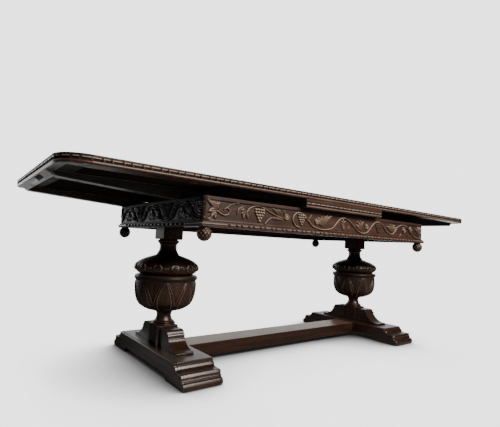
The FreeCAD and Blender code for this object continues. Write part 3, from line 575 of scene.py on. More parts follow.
# running vine of the long sides, left to right
def vineScroll(field):
    # corner leaf and its tendril
    field.spray((-692, 643), [(143, 58, 8.5), (120, 40, 7.5), (97, 36, 7), (70, 34, 6.5), (192, 40, 8.5),
                              (262, 33, 6), (225, 34, 6)], 5.4)
    field.stem([(-690, 642), (-672, 632), (-654, 629), (-640, 637), (-638, 649), (-650, 656), (-662, 650)],
               3.4, 2.2)
    field.stem([(-650, 657), (-636, 667), (-618, 675), (-596, 678)], 3.0, 1.6)
    field.stem([(-745, 622), (-738, 612), (-724, 612), (-712, 622), (-700, 636)], 3.2, 2.4)
    # three-lobed bud between tendrils
    field.stem([(-601, 640), (-598, 655), (-586, 664), (-572, 668)], 3.0, 1.8)
    field.spray((-563, 652), [(172, 20, 6), (255, 34, 6.5), (292, 32, 6), (215, 24, 5.5)], 5.0)
    # arch over grapes
    field.stem([(-556, 650), (-548, 662), (-530, 672), (-503, 677), (-470, 671), (-436, 657), (-400, 647),
                (-372, 640)], 3.4, 2.6)
    field.grapes((-494, 641), 50, 46)
    field.stem([(-464, 612), (-452, 626), (-436, 635)], 3.4, 2.6)
    field.leaf((-438, 636), (-366, 631), 7, 5.0, 3)
    field.leaf((-376, 642), (-431, 676), 8, 4.8, -4)
    field.leaf((-366, 641), (-406, 677), 7, 4.8, -4)
    field.leaf((-352, 648), (-362, 676), 6, 4.6, 2)
    field.curl((-349, 649), 13, 4.5, -150, 1.75)
    # undulating stem with its leaves, curls and grapes
    field.stem([(-276, 609), (-300, 618), (-314, 640), (-304, 662), (-280, 672), (-252, 666), (-222, 642),
                (-190, 620), (-150, 611), (-110, 610), (-62, 620), (-30, 648), (-4, 668), (24, 673),
                (52, 666), (76, 652), (102, 634), (132, 616), (170, 609), (206, 618), (232, 642),
                (262, 666), (297, 675), (330, 666), (350, 648), (372, 630), (404, 619)], 3.8, 3.2, 4.6, 420)
    # this bunch has a weaker painted highlight
    field.grapes((-262, 641), 42, 42, 5.6, 0.5)
    field.spray((-118, 622), [(160, 66, 9), (140, 62, 9), (118, 54, 8.5), (96, 52, 8), (66, 62, 8.5),
                              (45, 78, 8)], 5.4)
    field.curl((-166, 641), 14, 4.5, -30, 1.75)
    field.leaf((-214, 634), (-196, 672), 8, 4.4, 4)
    field.leaf((14, 660), (20, 612), 13, 5.0, 0)
    field.beads([(14, 664), (6, 655), (24, 655)], 4.2, 4.8)
    field.leaf((-38, 622), (-16, 612), 5, 3.8, 0)
    field.leaf((62, 640), (58, 611), 6, 4.2, 0)
    field.spray((150, 622), [(150, 48, 8), (122, 52, 8), (95, 50, 7.5), (64, 52, 8)], 5.2)
    field.curl((199, 647), 14, 4.5, -140, 1.75)
    # this bunch is painted dark: painted shade
    field.grapes((300, 644), 60, 50, 5.0, -1.0)
    field.spray((424, 628), [(150, 60, 8.5), (122, 50, 8), (95, 46, 7), (60, 50, 8), (32, 56, 7.5)], 5.4)
    # last bow of the stem and the far corner's leaf
    field.stem([(404, 619), (430, 620), (452, 636), (476, 660), (512, 673), (548, 673), (582, 660),
                (606, 640), (640, 620), (676, 611), (712, 612)], 3.6, 2.8, 4.6, 160)
    field.curl((544, 646), 17, 4, 60, 1.4)
    field.leaf((520, 630), (500, 610), 6, 4.6, 0)
    field.leaf((572, 632), (590, 610), 6, 4.6, 0)
    field.curl((612, 656), 14, 3.5, 100, 1.25)
    field.spray((690, 640), [(38, 52, 8.5), (62, 42, 7.5), (90, 38, 7), (118, 38, 7), (-15, 40, 8),
                             (-60, 34, 6.5), (150, 40, 7)], 5.4)


strap = {"wave": 139.0, "middle": 12.0, "level": 642.0, "swing": 30.0, "wide": 7.5, "height": 3.4,
         "leaves": ((0, 662, 9.5), (-22, 646, 7.5), (22, 646, 7.5), (-40, 630, 6), (40, 630, 6)),
         "shields": ((44, 54, 2.4), (31, 43, 2.2))}


# hollow strap waving along the short sides: five leaves stand under each crest, a shield hangs in each bow
def archedStrap(field):
    wave, level = strap["wave"], strap["level"]
    t = np.linspace(-3.2, 3.2, 161)
    c = np.cos(np.pi * t)
    line = np.stack([strap["middle"] + wave * t, level + strap["swing"] * np.sign(c) * np.abs(c) ** 0.55], 1)
    field.stem(line, strap["wide"], strap["wide"], strap["height"], 900, True)
    arch = np.linspace(-1, 1, 21)
    for k in range(-3, 4):
        s = strap["middle"] + wave * k
        if k % 2 == 0:
            for lean, tip, wide in strap["leaves"]:
                field.leaf((s + 0.5 * lean, 612), (s + lean, tip), wide, 4.4, 0.1 * lean, 0.7)
        else:
            for wide, tall, stroke in strap["shields"]:
                bow = np.stack([s + wide * arch, 677 - tall * (1 - np.abs(arch) ** 2.2)], 1)
                field.stem(bow, stroke, stroke, 3.2, 130)
            spots = [(8 * i + 4 * (j % 2), j) for j in range(4) for i in range(-2, 3)]
            field.beads([(s + a, 670 - 8 * j) for a, j in spots if abs(a) < 25 - 5 * j], 2.7, 3.4)
        for lean in (-1, 1):
            foot = (s + 0.5 * wave - 4 * lean, level + 26 * lean)
            field.leaf(foot, (s + 0.5 * wave - 30 * lean, level + 14 * lean), 5, 4.2, 2)


# one side's sheet: along the face and round half of each corner's arc, standing out by its height
def friezeSheet(name, half, carve, place, style):
    f = frieze
    flat = half - f["corner"]
    reach = flat + f["corner"] * math.pi / 4
    along = np.linspace(-reach, reach, int(2 * reach / f["step"]))
    up = np.concatenate([[f["low"]], np.arange(f["low"] + 0.8, f["high"] - 0.5, f["step"]), [f["high"]]])
    field = Relief(along, up)
    carve(field)
    punched = np.random.default_rng(5).uniform(-f["punch"], f["punch"], field.s.shape)
    ground = style["base"] + punched
    border = 3.0 * ease(f["band"] - 1.0, f["band"] + 1.2, field.z)
    border = border + 1.6 * ease(f["foot"] - 1.2, f["foot"] - 3.4, field.z)
    dip = np.clip(field.dip, 0, 1) * (field.h <= 0.4)
    line = ease(f["band"] - 3.2, f["band"] - 2.2, field.z) * ease(f["band"] - 0.4, f["band"] - 1.2, field.z)
    height = np.maximum(style["deep"] * field.h, border) + ground - style["groove"] * dip
    height = np.maximum(height - style["groove"] * line * (field.h < 1), 0.15)
    rim = np.minimum(ease(f["high"], f["high"] - 2.2, field.z), ease(f["low"], f["low"] + 1.2, field.z))
    height = height * (0.35 + 0.65 * rim) * (0.3 + 0.7 * ease(reach - 5, reach - 18, np.abs(field.s)))
    # painted light: slopes facing up made lighter, slopes facing down darker
    lift = np.clip(-np.gradient(height, axis=1) / np.gradient(field.z, axis=1), -1.2, 1.2)
    # high points pale as wear and painted highlight, shine as painted highlights, dark outlines as painted
    # shade
    wear = 0.5 * ease(3.0, 7.0, height) * (field.h > 0) + 0.6 * field.shine + 0.45 * lift - 1.2 * dip
    # painted shade in the groove under the band and on the borders; the sunk ground made darker
    wear = wear - 0.7 * line - style["groundDark"] * (field.h <= 0) - style["borderShade"] * ease(1.5, 3, border)
    turn = np.sign(along) * np.clip(np.abs(along) - flat, 0, None) / f["corner"]
    core = np.clip(along, -flat, flat)

    # places along and out from the face for a layer that stands out by so much
    def layer(out):
        radius = f["corner"] + out
        return core[:, None] + np.sin(turn)[:, None] * radius, np.cos(turn)[:, None] * radius - f["corner"]

    column = np.ones((len(along), 1))
    s, o = layer(height)
    backS, backO = layer(-f["behind"] * column)
    s = np.concatenate([backS, s, backS], 1)
    o = np.concatenate([backO, o, backO], 1)
    z = np.concatenate([up[0] * column, field.z, up[-1] * column], 1)
    return makePiece(name, place(s, o, z), np.concatenate([-0.6 * column, wear, -0.6 * column], 1))


sides = {
    "front": ("long", frieze["x"], vineScroll, lambda s, o, z: np.stack([s, -frieze["y"] - o, z], -1)),
    "back": ("long", frieze["x"], vineScroll, lambda s, o, z: np.stack([-s, frieze["y"] + o, z], -1)),
    "left": ("short", frieze["y"], archedStrap, lambda s, o, z: np.stack([-frieze["x"] - o, s, z], -1)),
    "right": ("short", frieze["y"], archedStrap, lambda s, o, z: np.stack([frieze["x"] + o, -s, z], -1)),
}
sideFinish = {"long": friezeOakX, "short": friezeOakY}
for side, (kind, half, carve, place) in sides.items():
    piece = friezeSheet(side + "Frieze", half, carve, place, frieze[kind])
    dress(piece, "frame", "oak_carved", sideFinish[kind])
print("frieze carved")

# Moulding under the frieze, mitred at the corners, with a nicked bead

moulding = {
    "low": 583.0, "deep": 25.0, "step": 2.0, "plain": 110.0, "bead": 3.0, "slant": 3.0, "soft": 1.4,
    "long": {"lengths": (28.0, 17.0), "gap": 6.0, "cut": 3.0, "rubAndGlint": 0.55, "below": 0.55, "above": 0.35},
    # the short sides' painted highlight and shade on the moulding are stronger
    "short": {"lengths": (17.0,), "gap": 21.0, "cut": 6.5, "rubAndGlint": 1.1, "below": 1.4, "above": 0.7}}


# a section carried along one side: each point of it runs to the mitre, so its half length grows as it stands
# out; the bead is nicked into lengths
def mouldingStrip(name, half, place, style):
    m = moulding
    beadShare = np.linspace(0, 1, 9)
    beadOut = 5.4 + m["bead"] * np.sqrt(np.clip(1 - (2 * beadShare - 1) ** 2, 0, 1))
    share = np.concatenate([np.full(6, -1.0), beadShare, np.full(7, -1.0)])
    up = np.concatenate([[0, 0, 0.5, 1.6, 3.4, 5.4], 6.0 + 8.0 * beadShare,
                         [14.4, 15.0, 15.6, 17.4, 19.2, 20.0, 20.0]])
    out = np.concatenate([[-m["deep"], 4.6, 6.0, 6.6, 6.6, 5.6], beadOut,
                          [4.4, 2.8, 2.3, 2.2, 2.1, 2.0, -m["deep"]]])
    t = np.linspace(-1, 1, int(2 * half / m["step"]))[:, None]
    land = slots(t * half + m["slant"] * share, style["lengths"], style["gap"], m["soft"])
    nick = np.where(share >= 0, 1 - land, 0) * (np.abs(t) * half < half - m["plain"])
    o = out - style["cut"] * nick
    s = t * (half + o)
    # the bead painted pale between the nicks as a highlight, the nicks painted black as shade
    wear = np.where(share >= 0, style["rubAndGlint"] * ease(0.35, 0.7, share) * (1 - nick) - 1.3 * nick, 0)
    # the rows under the bead painted dark as shade, and the rows above it made darker
    wear[:, 1:6] -= style["below"]
    wear[:, 15:21] -= style["above"]
    return makePiece(name, place(s, o, m["low"] + up + 0 * s), wear)


for side, (kind, half, carve, place) in sides.items():
    piece = mouldingStrip(side + "Moulding", half, place, moulding[kind])
    dress(piece, "frame", "oak_carved", sideFinish[kind], side + "_moulding")
print("moulding cut")

# Turned and carved pedestals

pedestal = {"x": 668.0, "faceTurn": math.radians(19.0), "rounds": 384}
cupRuns = [
    ([(0, 164), (43, 164)], 0),
    ([(43.5, 164), (49.5, 164.5), (52, 167.5), (49.5, 170.5), (44.5, 171)], 12),
    ([(43, 171.3), (45.5, 173), (45.8, 176), (43, 178.6), (39, 180)], 10),
    ([(38, 181), (34, 190), (31, 201), (32.5, 211), (39, 221)], 16),
    ([(42, 222.5), (72, 229.5), (99, 244.5), (116.5, 262), (126.5, 289), (130.4, 320), (131.2, 357)], 120),
    ([(131.6, 358.2), (135, 360), (136.6, 366), (135.4, 372), (131.5, 375.6)], 14),
    ([(129, 376.4), (122, 377.6), (117, 378.9)], 4),
    ([(0, 378.9)], 0)]
coverRuns = [
    ([(0, 379.1), (113, 379.1)], 0),
    ([(113.2, 379.4), (114.2, 381.5), (117, 383.2)], 5),
    ([(119.5, 384), (128, 391), (134.2, 401.5), (136.4, 411.5), (134.2, 421), (127.2, 430.5), (115, 439),
      (97.5, 447.5), (72, 456.5), (52, 463)], 110),
    ([(50.5, 464), (45.4, 472), (40.6, 480.5), (38.2, 488), (37.3, 497), (37.3, 505), (38.4, 511)], 20),
    ([(39, 512), (41.6, 515), (45.2, 518.6), (47.2, 520.8)], 8),
    ([(48, 522), (48.3, 523.6), (47.6, 525.2)], 5),
    ([(45, 527.4), (41, 529.8), (38.6, 531.3)], 5),
    ([(38, 533), (38, 536), (0, 536)], 0)]


# angle from the middle of the nearest of so many places round an axis, and the step between them
def fromNearest(turn, count):
    step = 2 * np.pi / count
    return np.mod(turn - pedestal["faceTurn"] + step / 2, step) - step / 2, step


# half width of a pointed leaf on a bowl; up runs 0 to 1 from foot to tip
def lancet(up, wide, shoulder):
    t = np.clip(up, 0, 1)
    swell = shoulder + (1 - shoulder) * np.sin(np.pi * np.clip(t * 1.25, 0, 0.5))
    return wide * (1 - t ** 2.4) ** 0.9 * swell + 0.01


# foot, height, half width as a share of the step, and shoulder of each leaf
cupLeaf = {"count": 8, "girth": 130.0, "outer": (222.0, 136.0, 0.5, 0.55), "inner": (224.0, 128.0, 0.36, 0.6),
           "rib": 1.8, "low": 223.0, "high": 357.5, "sink": 4.4}


# cup carving, cut in from the bowl: leaves one within another, each with a raised margin and slanted veins,
# and the tips of a further row between them; over it a rim painted dark as shade, with a painted highlight on
# top
def cupCarving(turn, radius, z):
    c = cupLeaf
    spin, step = fromNearest(turn, c["count"])
    foot = c["inner"][0]
    side = spin * radius + 2.5 * np.sin((z - foot) / 38)

    # how far up a leaf a place is, and how far out from its middle line
    def within(leaf):
        base, tall, wide, shoulder = leaf
        up = (z - base) / tall
        return up, np.abs(side) / lancet(up, wide * step * c["girth"], shoulder)

    outerUp, outer = within(c["outer"])
    innerUp, inner = within(c["inner"])
    inOuter = (outer < 1) & (outerUp < 1)
    inInner = (inner < 1) & (innerUp < 1)
    veins = np.sin((np.abs(side) * 0.9 - (z - foot) * 0.5) * 0.75)
    between = step * radius / 2 - np.abs(side)
    third = 1.2 + 0.5 * np.sin((between * 0.8 + z * 0.5) * 0.8) - 1.4 * bell(between, 0, 1.6)
    margin = bell(outer, 0.87, 0.1)
    rim = bell(inner, 0.85, 0.12)
    rib = bell(side, 0, c["rib"])
    body = 2.2 + 3.2 * margin + 0.5 * veins
    leaf = 4.2 + 2.8 * rim - 1.6 * rib + 0.45 * veins
    height = np.where(inInner, leaf, np.where(inOuter, body, third))
    # painted highlights on the leaves' margins and rims, painted shade in the moat round each leaf
    moat = ~inInner * ease(1.16, 1.03, inner) * (innerUp < 1.03) + ~inOuter * ease(1.12, 1.02, outer)
    bodyWornAndLit = np.where(inOuter, 0.5 * margin - 0.1 + 0.15 * veins, 0.0)
    wear = np.where(inInner, 0.6 * rim - 0.1 + 0.15 * veins - 0.3 * rib, bodyWornAndLit) - 1.0 * moat
    fade = ease(c["low"], c["low"] + 17, z) * ease(c["high"], c["high"] - 3.5, z)
    onBowl = (z > c["low"]) & (z < c["high"])
    # the rim: a painted highlight along its upper line, painted shade below it
    pale = 0.4 * ease(372, 374.5, z) * ease(378.8, 376.8, z)
    lip = pale - 0.9 * ease(c["high"], c["high"] + 2.5, z) * ease(372, 369, z)
    return np.where(onBowl, (height - 2.0 * moat - c["sink"]) * fade, 0), np.where(onBowl, wear * fade, lip)


boss = {"count": 12, "girth": 136.0, "level": 411.0, "wide": 20.0, "above": 17.0, "below": 15.0, "tall": 6.4,
        "low": 388.0, "high": 434.0, "bead": (4.6, 4.0, 4.6, 4.2)}


# cover carving: round bosses, full below and drawn out to the dome above, with two small beads between each
# pair; painted highlights on the bosses and beads, painted shade round them, a painted highlight on the
# collar
def coverCarving(turn, radius, z):
    b = boss
    spin, step = fromNearest(turn, b["count"])
    side = spin * b["girth"]
    rise = z - b["level"]
    d = np.hypot(side / b["wide"], rise / np.where(rise > 0, b["above"], b["below"]))
    dome = b["tall"] * np.clip(1 - d ** 2.6, 0, 1) ** 0.5 - 2.6 * bell(d, 0.45, 0.2) * ease(-3, 6, rise)
    beadOff, beadWide, beadHigh, beadTall = b["bead"]
    gap = np.abs(np.abs(side) - step * b["girth"] / 2)
    q = np.hypot((gap - beadOff) / beadWide, rise / beadHigh)
    bead = beadTall * np.sqrt(np.clip(1 - q * q, 0, 1))
    onBelly = (z > b["low"]) & (z < b["high"])
    height = np.where(onBelly, np.maximum(np.maximum(dome, bead), 0), 0)
    # painted shade round the bosses and beads
    moat = ease(1.22, 1.05, d) * ease(0.94, 1.02, d) + ease(1.5, 1.05, q) * (q > 0.95)
    flank = ease(0.15, 0.45, np.abs(side) / b["wide"])
    glint = ease(0.55, 0.7, d) * ease(1.0, 0.9, d) * ease(-2, 4, rise) * flank
    lower = ease(0.6, 0.8, d) * ease(1.0, 0.93, d) * ease(2, -4, rise)
    carved = 1.0 * glint + 0.6 * lower + 1.2 * ease(2.6, 4.0, bead) - 0.9 * moat
    # a painted highlight along the collar's edge
    collar = 0.55 * ease(520.8, 522.2, z) * ease(526, 524.6, z)
    return height, np.where(onBelly, carved, collar)


# a profile spun round an upright axis, pushed out along its normal by the carving
def turnedPiece(name, runs, x, y, carving, rounds):
    profile = profileOf(runs)
    turn = np.linspace(0, 2 * np.pi, rounds, endpoint=False)
    slope = np.gradient(profile, axis=0)
    slope /= np.hypot(slope[:, 0], slope[:, 1])[:, None] + 1e-9
    out, rise = slope[1:-1, 1:], -slope[1:-1, :1]
    turns, radius = np.meshgrid(turn, profile[1:-1, 0], indexing="xy")
    heights = np.repeat(profile[1:-1, 1:], rounds, 1)
    push, wear = carving(turns, np.maximum(radius, 1), heights)
    radius = radius + push * out
    ring = np.stack([x + radius * np.cos(turns), y + radius * np.sin(turns), heights + push * rise], -1)
    return makePiece(name, ring, wear)


for word, end in (("left", -1), ("right", 1)):
    x = end * pedestal["x"]
    for part, runs, carving in (("Cup", cupRuns, cupCarving), ("Cover", coverRuns, coverCarving)):
        piece = turnedPiece(word + part, runs, x, 0, carving, pedestal["rounds"])
        dress(piece, "frame", "oak_turned", turnedOak, f"{word}_{part.lower()}")

drop = {"x": 726.0, "y": 399.0, "centre": 559.0, "radius": 28.0, "knobs": 11, "cut": 1.9, "twist": 4.2,
        "neck": 578.0, "rounds": 96}


# ball drop carved all over with a lattice of small knobs, on a short thick neck
def dropCarving(turn, radius, z):
    up = np.arcsin(np.clip((z - drop["centre"]) / drop["radius"], -1, 1))
    around = drop["knobs"] / 2 * turn
    lean = drop["twist"] * up
    knob = np.abs(np.sin(around + lean) * np.sin(around - lean)) ** 0.7
    onBall = ease(1.0, 0.8, np.abs(up) / 1.35) * (z < drop["neck"])
    # knob tops pale as wear and a painted highlight, the hollows between painted dark as shade
    wear = 0.65 * ease(0.5, 0.95, knob) - 0.9 * ease(0.25, 0.0, knob)
    return drop["cut"] * (knob - 1) * onBall, wear * onBall


tilt = np.radians(np.linspace(-89, 46, 60))
ball = np.stack([drop["radius"] * np.cos(tilt), drop["centre"] + drop["radius"] * np.sin(tilt)], 1)
dropRuns = [([(0, drop["centre"] - drop["radius"])], 0), (ball, 0),
            ([(17.6, 579.6), (17.2, 581), (18.4, 582.2), (18.4, 582.9), (0, 582.9)], 0)]
for a, sideY in (("front", -1), ("back", 1)):
    for b, sideX in (("left", -1), ("right", 1)):
        piece = turnedPiece(f"{a}{b.title()}Drop", dropRuns, sideX * drop["x"], sideY * drop["y"],
                            dropCarving, drop["rounds"])
        dress(piece, "frame", "oak_carved", turnedOak, f"{a}_{b}_drop")
print("pedestals turned")

# Sawn and moulded blocks


# a bar's outline and length on the table's axes: lying along x, or upright
def alongX(a, b, c):
    return np.stack([c, a, b], -1)


def upright(a, b, c):
    return np.stack([a, b, c], -1)


# an outline carried straight along one axis and drawn in at both ends by steps of (distance from the end,
# inset, mark of wear and painted light); place sets the axes
def barPiece(name, outline, low, high, ends, place, wear=0.0):
    p = np.asarray(outline, float)
    before, after = p - np.roll(p, 1, 0), np.roll(p, -1, 0) - p
    n1, n2 = [np.stack([v[:, 1], -v[:, 0]], 1) / (np.hypot(*v.T)[:, None] + 1e-9) for v in (before, after)]
    area = 0.5 * np.sum(p[:, 0] * np.roll(p[:, 1], -1) - np.roll(p[:, 0], -1) * p[:, 1])
    out = (n1 + n2) / np.maximum(1 + np.sum(n1 * n2, 1), 0.35)[:, None] * np.sign(area)
    shift, inset, rubAndGlint = np.asarray(ends, float).T
    middle = np.linspace(low + shift[-1], high - shift[-1], 6)[1:-1]
    stations = np.concatenate([low + shift, middle, (high - shift)[::-1]])
    drawn = np.concatenate([inset, 0 * middle + inset[-1], inset[::-1]])
    rubbedAndGlinting = np.concatenate([rubAndGlint, 0 * middle + rubAndGlint[-1], rubAndGlint[::-1]])
    ring = p[None] - drawn[:, None, None] * out[None]
    along = np.repeat(stations[:, None], len(p), 1)
    wornAndLit = np.repeat(rubbedAndGlinting[:, None], len(p), 1) + wear
    piece = makePiece(name, place(ring[..., 0], ring[..., 1], along), wornAndLit)
    piece.modifiers.new("flatFaces", "WEIGHTED_NORMAL")
    return piece


# end steps of a quarter round, pale on the round as wear and a painted highlight
def eased(radius, rubAndGlint=0.5):
    a = np.radians([90, 60, 30, 0])
    return np.stack([radius * (1 - np.sin(a)), radius * (1 - np.cos(a)), [0.2 * rubAndGlint, rubAndGlint, rubAndGlint, 0]], 1)


# rounded rectangle, counter-clockwise
def softBox(lowA, lowB, highA, highB, soft, steps=4):
    a = np.radians(np.linspace(0, 90, steps))
    corners = [(highA - soft, lowB + soft, -90), (highA - soft, highB - soft, 0),
               (lowA + soft, highB - soft, 90), (lowA + soft, lowB + soft, 180)]
    turns = [(x, y, a + math.radians(start)) for x, y, start in corners]
    return np.concatenate([np.stack([x + soft * np.cos(t), y + soft * np.sin(t)], 1) for x, y, t in turns])


# the foot's end steps: pale lines as wear and painted highlight, a dark line at the foot of the step as
# painted shade
foot = {"wide": 170.0,
        "ends": [(0, 4.4, 0.1), (0.5, 3.0, 0.3), (1.6, 1.8, 0.4), (3.2, 1.4, 0.2), (4.5, 1.4, 0),
                 (11, 1.4, -0.5), (11.6, 0.3, 0.3), (12.4, 0, 0.2), (14, 0, 0)]}
footHalf = profileOf([
    ([(0.01, 18), (207, 18), (213, 6), (215, 0), (360, 0)], 0),
    ([(362, 0.4), (364.4, 2.6), (365, 6)], 5),
    ([(365, 10), (365, 15.4)], 3),
    ([(361.3, 23), (358.8, 25.4), (352.4, 26.4)], 5),
    ([(350.6, 27), (350.4, 31.2), (349.2, 33.8), (347.6, 34.6), (346.6, 35.4), (346.2, 40.4)], 0),
    ([(346.6, 41.6), (346.8, 42.4)], 0),
    ([(342.6, 50.6), (340.6, 51.8), (337, 52)], 4),
    ([(335, 51.6), (322, 51.4), (308, 52.2), (299, 54.6), (295, 56)], 14),
    ([(296, 56.2), (297.4, 57.6), (297.2, 58.6)], 4),
    ([(293.6, 65.8), (291.6, 67.2), (287, 67.6)], 5),
    ([(285.8, 67.8), (285.6, 72), (285.2, 77)], 4),
    ([(284.8, 78.8), (283.6, 79.8), (281, 80)], 4),
    ([(0.01, 80)], 0)])
footLine = np.concatenate([footHalf, footHalf[::-1] * [-1, 1]])
console = {"wide": 76.0, "ends": eased(0.7)}
consoleLine = profileOf([
    ([(52.1, 80.05), (210, 80.05)], 0),
    ([(212, 80.4), (213, 81.4), (213, 84), (212.8, 87), (211.6, 88.2)], 6),
    ([(208, 88.8), (190, 90), (172, 95), (156, 104), (146, 112), (141, 117)], 20),
    ([(140.8, 118.2), (138.6, 123.2), (136.8, 124.4), (133.8, 124.6)], 8),
    ([(132.8, 125.4), (131.8, 130), (131.4, 136.4)], 5),
    ([(131.2, 137.6), (129.2, 142), (127.6, 142.8), (125, 143)], 8),
    ([(124.2, 143.6), (122.8, 148), (118.5, 154.5), (111, 157.6), (104, 158)], 12),
    ([(52.1, 158)], 0)])
block = {"x": 45.0, "y": 52.0, "low": 80.05, "high": 163.95, "soft": 1.2, "flutes": 5, "field": 36.0,
         "fluteDeep": 3.0}
cap = {"half": 46.0, "low": 531.5, "high": 609.9, "soft": 2.5, "round": 5.0, "rubAndGlint": 0.1}
stretcher = {"half": 65.0, "low": 14.0, "high": 73.0, "reach": 583.0, "soft": 2.4, "round": 1.0,
             "rubAndGlint": 0.2, "wornAndLit": 0.55}


# plinth block: its plan carried upwards, with flutes let into each broad face
def blockPlan():
    plan = softBox(-block["x"], -block["y"], block["x"], block["y"], block["soft"], 3)
    y = np.linspace(-block["field"], block["field"], 61)
    waves = (y + block["field"]) * np.pi * block["flutes"] / (2 * block["field"])
    flute = block["fluteDeep"] * np.clip(np.abs(np.sin(waves)), 0, 1) ** 0.6
    rightFace = np.stack([block["x"] - flute, y], 1)
    return np.concatenate([plan[:3], rightFace, plan[3:9], (rightFace * [-1, 1])[::-1], plan[9:]])


for word, end in (("left", -1), ("right", 1)):
    x = end * pedestal["x"]
    span = (x - foot["wide"] / 2, x + foot["wide"] / 2)
    piece = barPiece(word + "Foot", footLine, *span, foot["ends"], alongX)
    dress(piece, "frame", "oak_base", baseOakY, word + "_foot")
    span = (x - console["wide"] / 2, x + console["wide"] / 2)
    for sideWord, sideY in (("front", -1), ("back", 1)):
        name = f"{word}{sideWord.title()}Console"
        piece = barPiece(name, consoleLine * [sideY, 1], *span, console["ends"], alongX)
        dress(piece, "frame", "oak_base", baseOakY, f"{word}_{sideWord}_console")
    piece = barPiece(word + "PlinthBlock", blockPlan() + [x, 0], block["low"], block["high"],
                     eased(block["soft"]), upright)
    dress(piece, "frame", "oak_base", turnedOak, word + "_plinth_block")
    plan = softBox(x - cap["half"], -cap["half"], x + cap["half"], cap["half"], cap["soft"])
    ends = eased(cap["round"], cap["rubAndGlint"])
    piece = barPiece(word + "CapBlock", plan, cap["low"], cap["high"], ends, upright)
    dress(piece, "frame", "oak_turned", capOak, word + "_cap_block")
stretcherLine = softBox(-stretcher["half"], stretcher["low"], stretcher["half"], stretcher["high"],
                        stretcher["soft"])
# painted sheen along the stretcher's top
topSheen = np.where(stretcherLine[:, 1] > stretcher["high"] - 0.5, stretcher["wornAndLit"], 0.0)
piece = barPiece("stretcher", stretcherLine, -stretcher["reach"], stretcher["reach"],
                 eased(stretcher["round"], stretcher["rubAndGlint"]), alongX, topSheen)
dress(piece, "frame", "oak_base", baseOakX, "stretcher")
print("base blocks shaped")

# Stage: pale floor, soft light and the photograph's camera

studio = {"white": 2.8, "shade": 0.45, "lean": (0.5, 0.32, 0.8), "grey": (0.3, 0.3, 0.3, 1),
          "floor": (30.0, -0.001), "fade": (1.8, 4.5), "dim": 0.02, "back": 1.35, "left": 0.03,
          "above": 0.12, "low": 1.8}
lamps = {
    "keyLight": {"place": (0.18, -3.15, 2.25), "aim": (-0.2, -0.2, 0.3), "size": (2.0, 1.1), "power": 180.0,
                 "colour": (1.0, 0.95, 0.9)},
    "rimLight": {"place": (-1.4, 2.5, 0.75), "aim": (-0.75, 0.3, 0.55), "size": (0.5, 0.6), "power": 3.6,
                 "colour": (0.95, 0.97, 1.0)},
}
view = {"focal": 383.364, "width": 500, "sensor": 36, "place": (-1.4359, -1.5829, 0.5279), "yaw": 0.6564,
        "pitch": 0.0802, "roll": 0.0493}


# links an object at a place, with its own axes given in the table's frame
def placeObject(name, data, right, up, back, place):
    thing = bpy.data.objects.new(name, data)
    rows = [[right[i], up[i], back[i], place[i]] for i in range(3)]
    thing.matrix_world = Matrix(rows + [[0, 0, 0, 1]])
    bpy.context.scene.collection.objects.link(thing)
    return thing


def photoCamera():
    yaw, pitch, roll = view["yaw"], view["pitch"], view["roll"]
    ahead = np.array([math.sin(yaw) * math.cos(pitch), math.cos(yaw) * math.cos(pitch), math.sin(pitch)])
    level = np.array([math.cos(yaw), -math.sin(yaw), 0])
    over = np.cross(level, ahead)
    right = math.cos(roll) * level + math.sin(roll) * over
    up = -math.sin(roll) * level + math.cos(roll) * over
    lens = bpy.data.cameras.new("photoCamera")
    lens.sensor_width = view["sensor"]
    lens.lens = view["sensor"] * view["focal"] / view["width"]
    lens.clip_start, lens.clip_end = 0.05, 100
    bpy.context.scene.camera = placeObject("photoCamera", lens, right, up, -ahead, view["place"])


def softLight(name, place, aim, size, power, colour):
    lamp = bpy.data.lights.new(name, "AREA")
    lamp.shape, lamp.size, lamp.size_y = "RECTANGLE", size[0], size[1]
    lamp.energy, lamp.color = power, colour
    back = np.asarray(place, float) - aim
    back /= np.linalg.norm(back)
    side = np.cross([0, 0, 1], back)
    side /= np.linalg.norm(side)
    placeObject(name, lamp, side, np.cross(back, side), back, place)


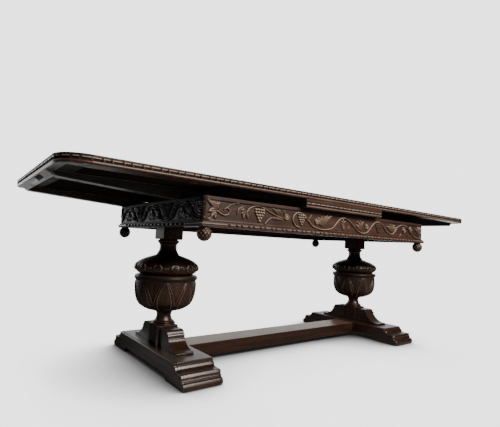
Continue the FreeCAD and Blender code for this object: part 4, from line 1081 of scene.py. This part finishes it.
# floor that stays white round dark wood, with soft contact shade on the side away from the light
def paleFloor():
    mesh = bpy.data.meshes.new("floor")
    r, z = studio["floor"]
    mesh.from_pydata([(-r, -r, z), (r, -r, z), (r, r, z), (-r, r, z)], [], [(0, 1, 2, 3)])
    floor = bpy.data.objects.new("floor", mesh)
    bpy.context.scene.collection.objects.link(floor)
    material = newMaterial("paleFloor")
    lean = Wire.node("ShaderNodeCombineXYZ", links=dict(enumerate(studio["lean"])))
    openness = Wire.node("ShaderNodeAmbientOcclusion", {"samples": 24},
                         {"Distance": studio["shade"], "Normal": lean}, 1)
    glow = Wire.node("ShaderNodeEmission", links={"Strength": studio["white"] * openness ** 3.0})
    solid = Wire.node("ShaderNodeBsdfDiffuse", links={"Color": studio["grey"]})
    lit = Wire.node("ShaderNodeMixShader", links={0: Wire.node("ShaderNodeLightPath"), 1: solid, 2: glow})
    place = Wire.node("ShaderNodeTexCoord", out=3)
    far = Wire.node("ShaderNodeVectorMath", {"operation": "LENGTH"}, {0: place}, 1).between(*studio["fade"])
    clear = Wire.node("ShaderNodeBsdfTransparent")
    shown = Wire.node("ShaderNodeMixShader", links={0: far, 1: lit, 2: clear})
    Wire.node("ShaderNodeOutputMaterial", links={"Surface": shown})
    mesh.materials.append(material)


# surround: plain white to look at; as light, bright behind and low down behind to the right, dim elsewhere
def surround():
    world = bpy.data.worlds.new("studio")
    bpy.context.scene.world = world
    world.use_nodes = True
    Wire.tree = world.node_tree
    Wire.tree.nodes.clear()
    apart = Wire.node("ShaderNodeSeparateXYZ", links={"Vector": Wire.node("ShaderNodeTexCoord")}).socket.node
    x, y, z = [Wire(apart.outputs[k]) for k in range(3)]
    level = (1 - Wire.sum("ABSOLUTE", z)).between(0.35, 0.95)
    behind = level * y.between(-0.1, 0.6) * x.between(-0.43, -0.3)
    under = (0 - z).between(0.02, 0.12) * (y + 0.6 * x).between(0.2, 0.8) * (0.45 + x.between(0.4, 0.9))
    glow = studio["dim"] + studio["back"] * behind + studio["left"] * (0 - x).between(0.0, 1.0)
    glow = glow + studio["above"] * z.between(0.2, 1.0) + studio["low"] * under
    seen = Wire.node("ShaderNodeLightPath")
    strength = seen * studio["white"] + (1 - seen) * glow
    sky = Wire.node("ShaderNodeBackground", links={"Color": (1, 1, 1, 1), "Strength": strength})
    Wire.node("ShaderNodeOutputWorld", links={"Surface": sky})


photoCamera()
paleFloor()
surround()
for name, lamp in lamps.items():
    softLight(name, **lamp)
print("stage set")
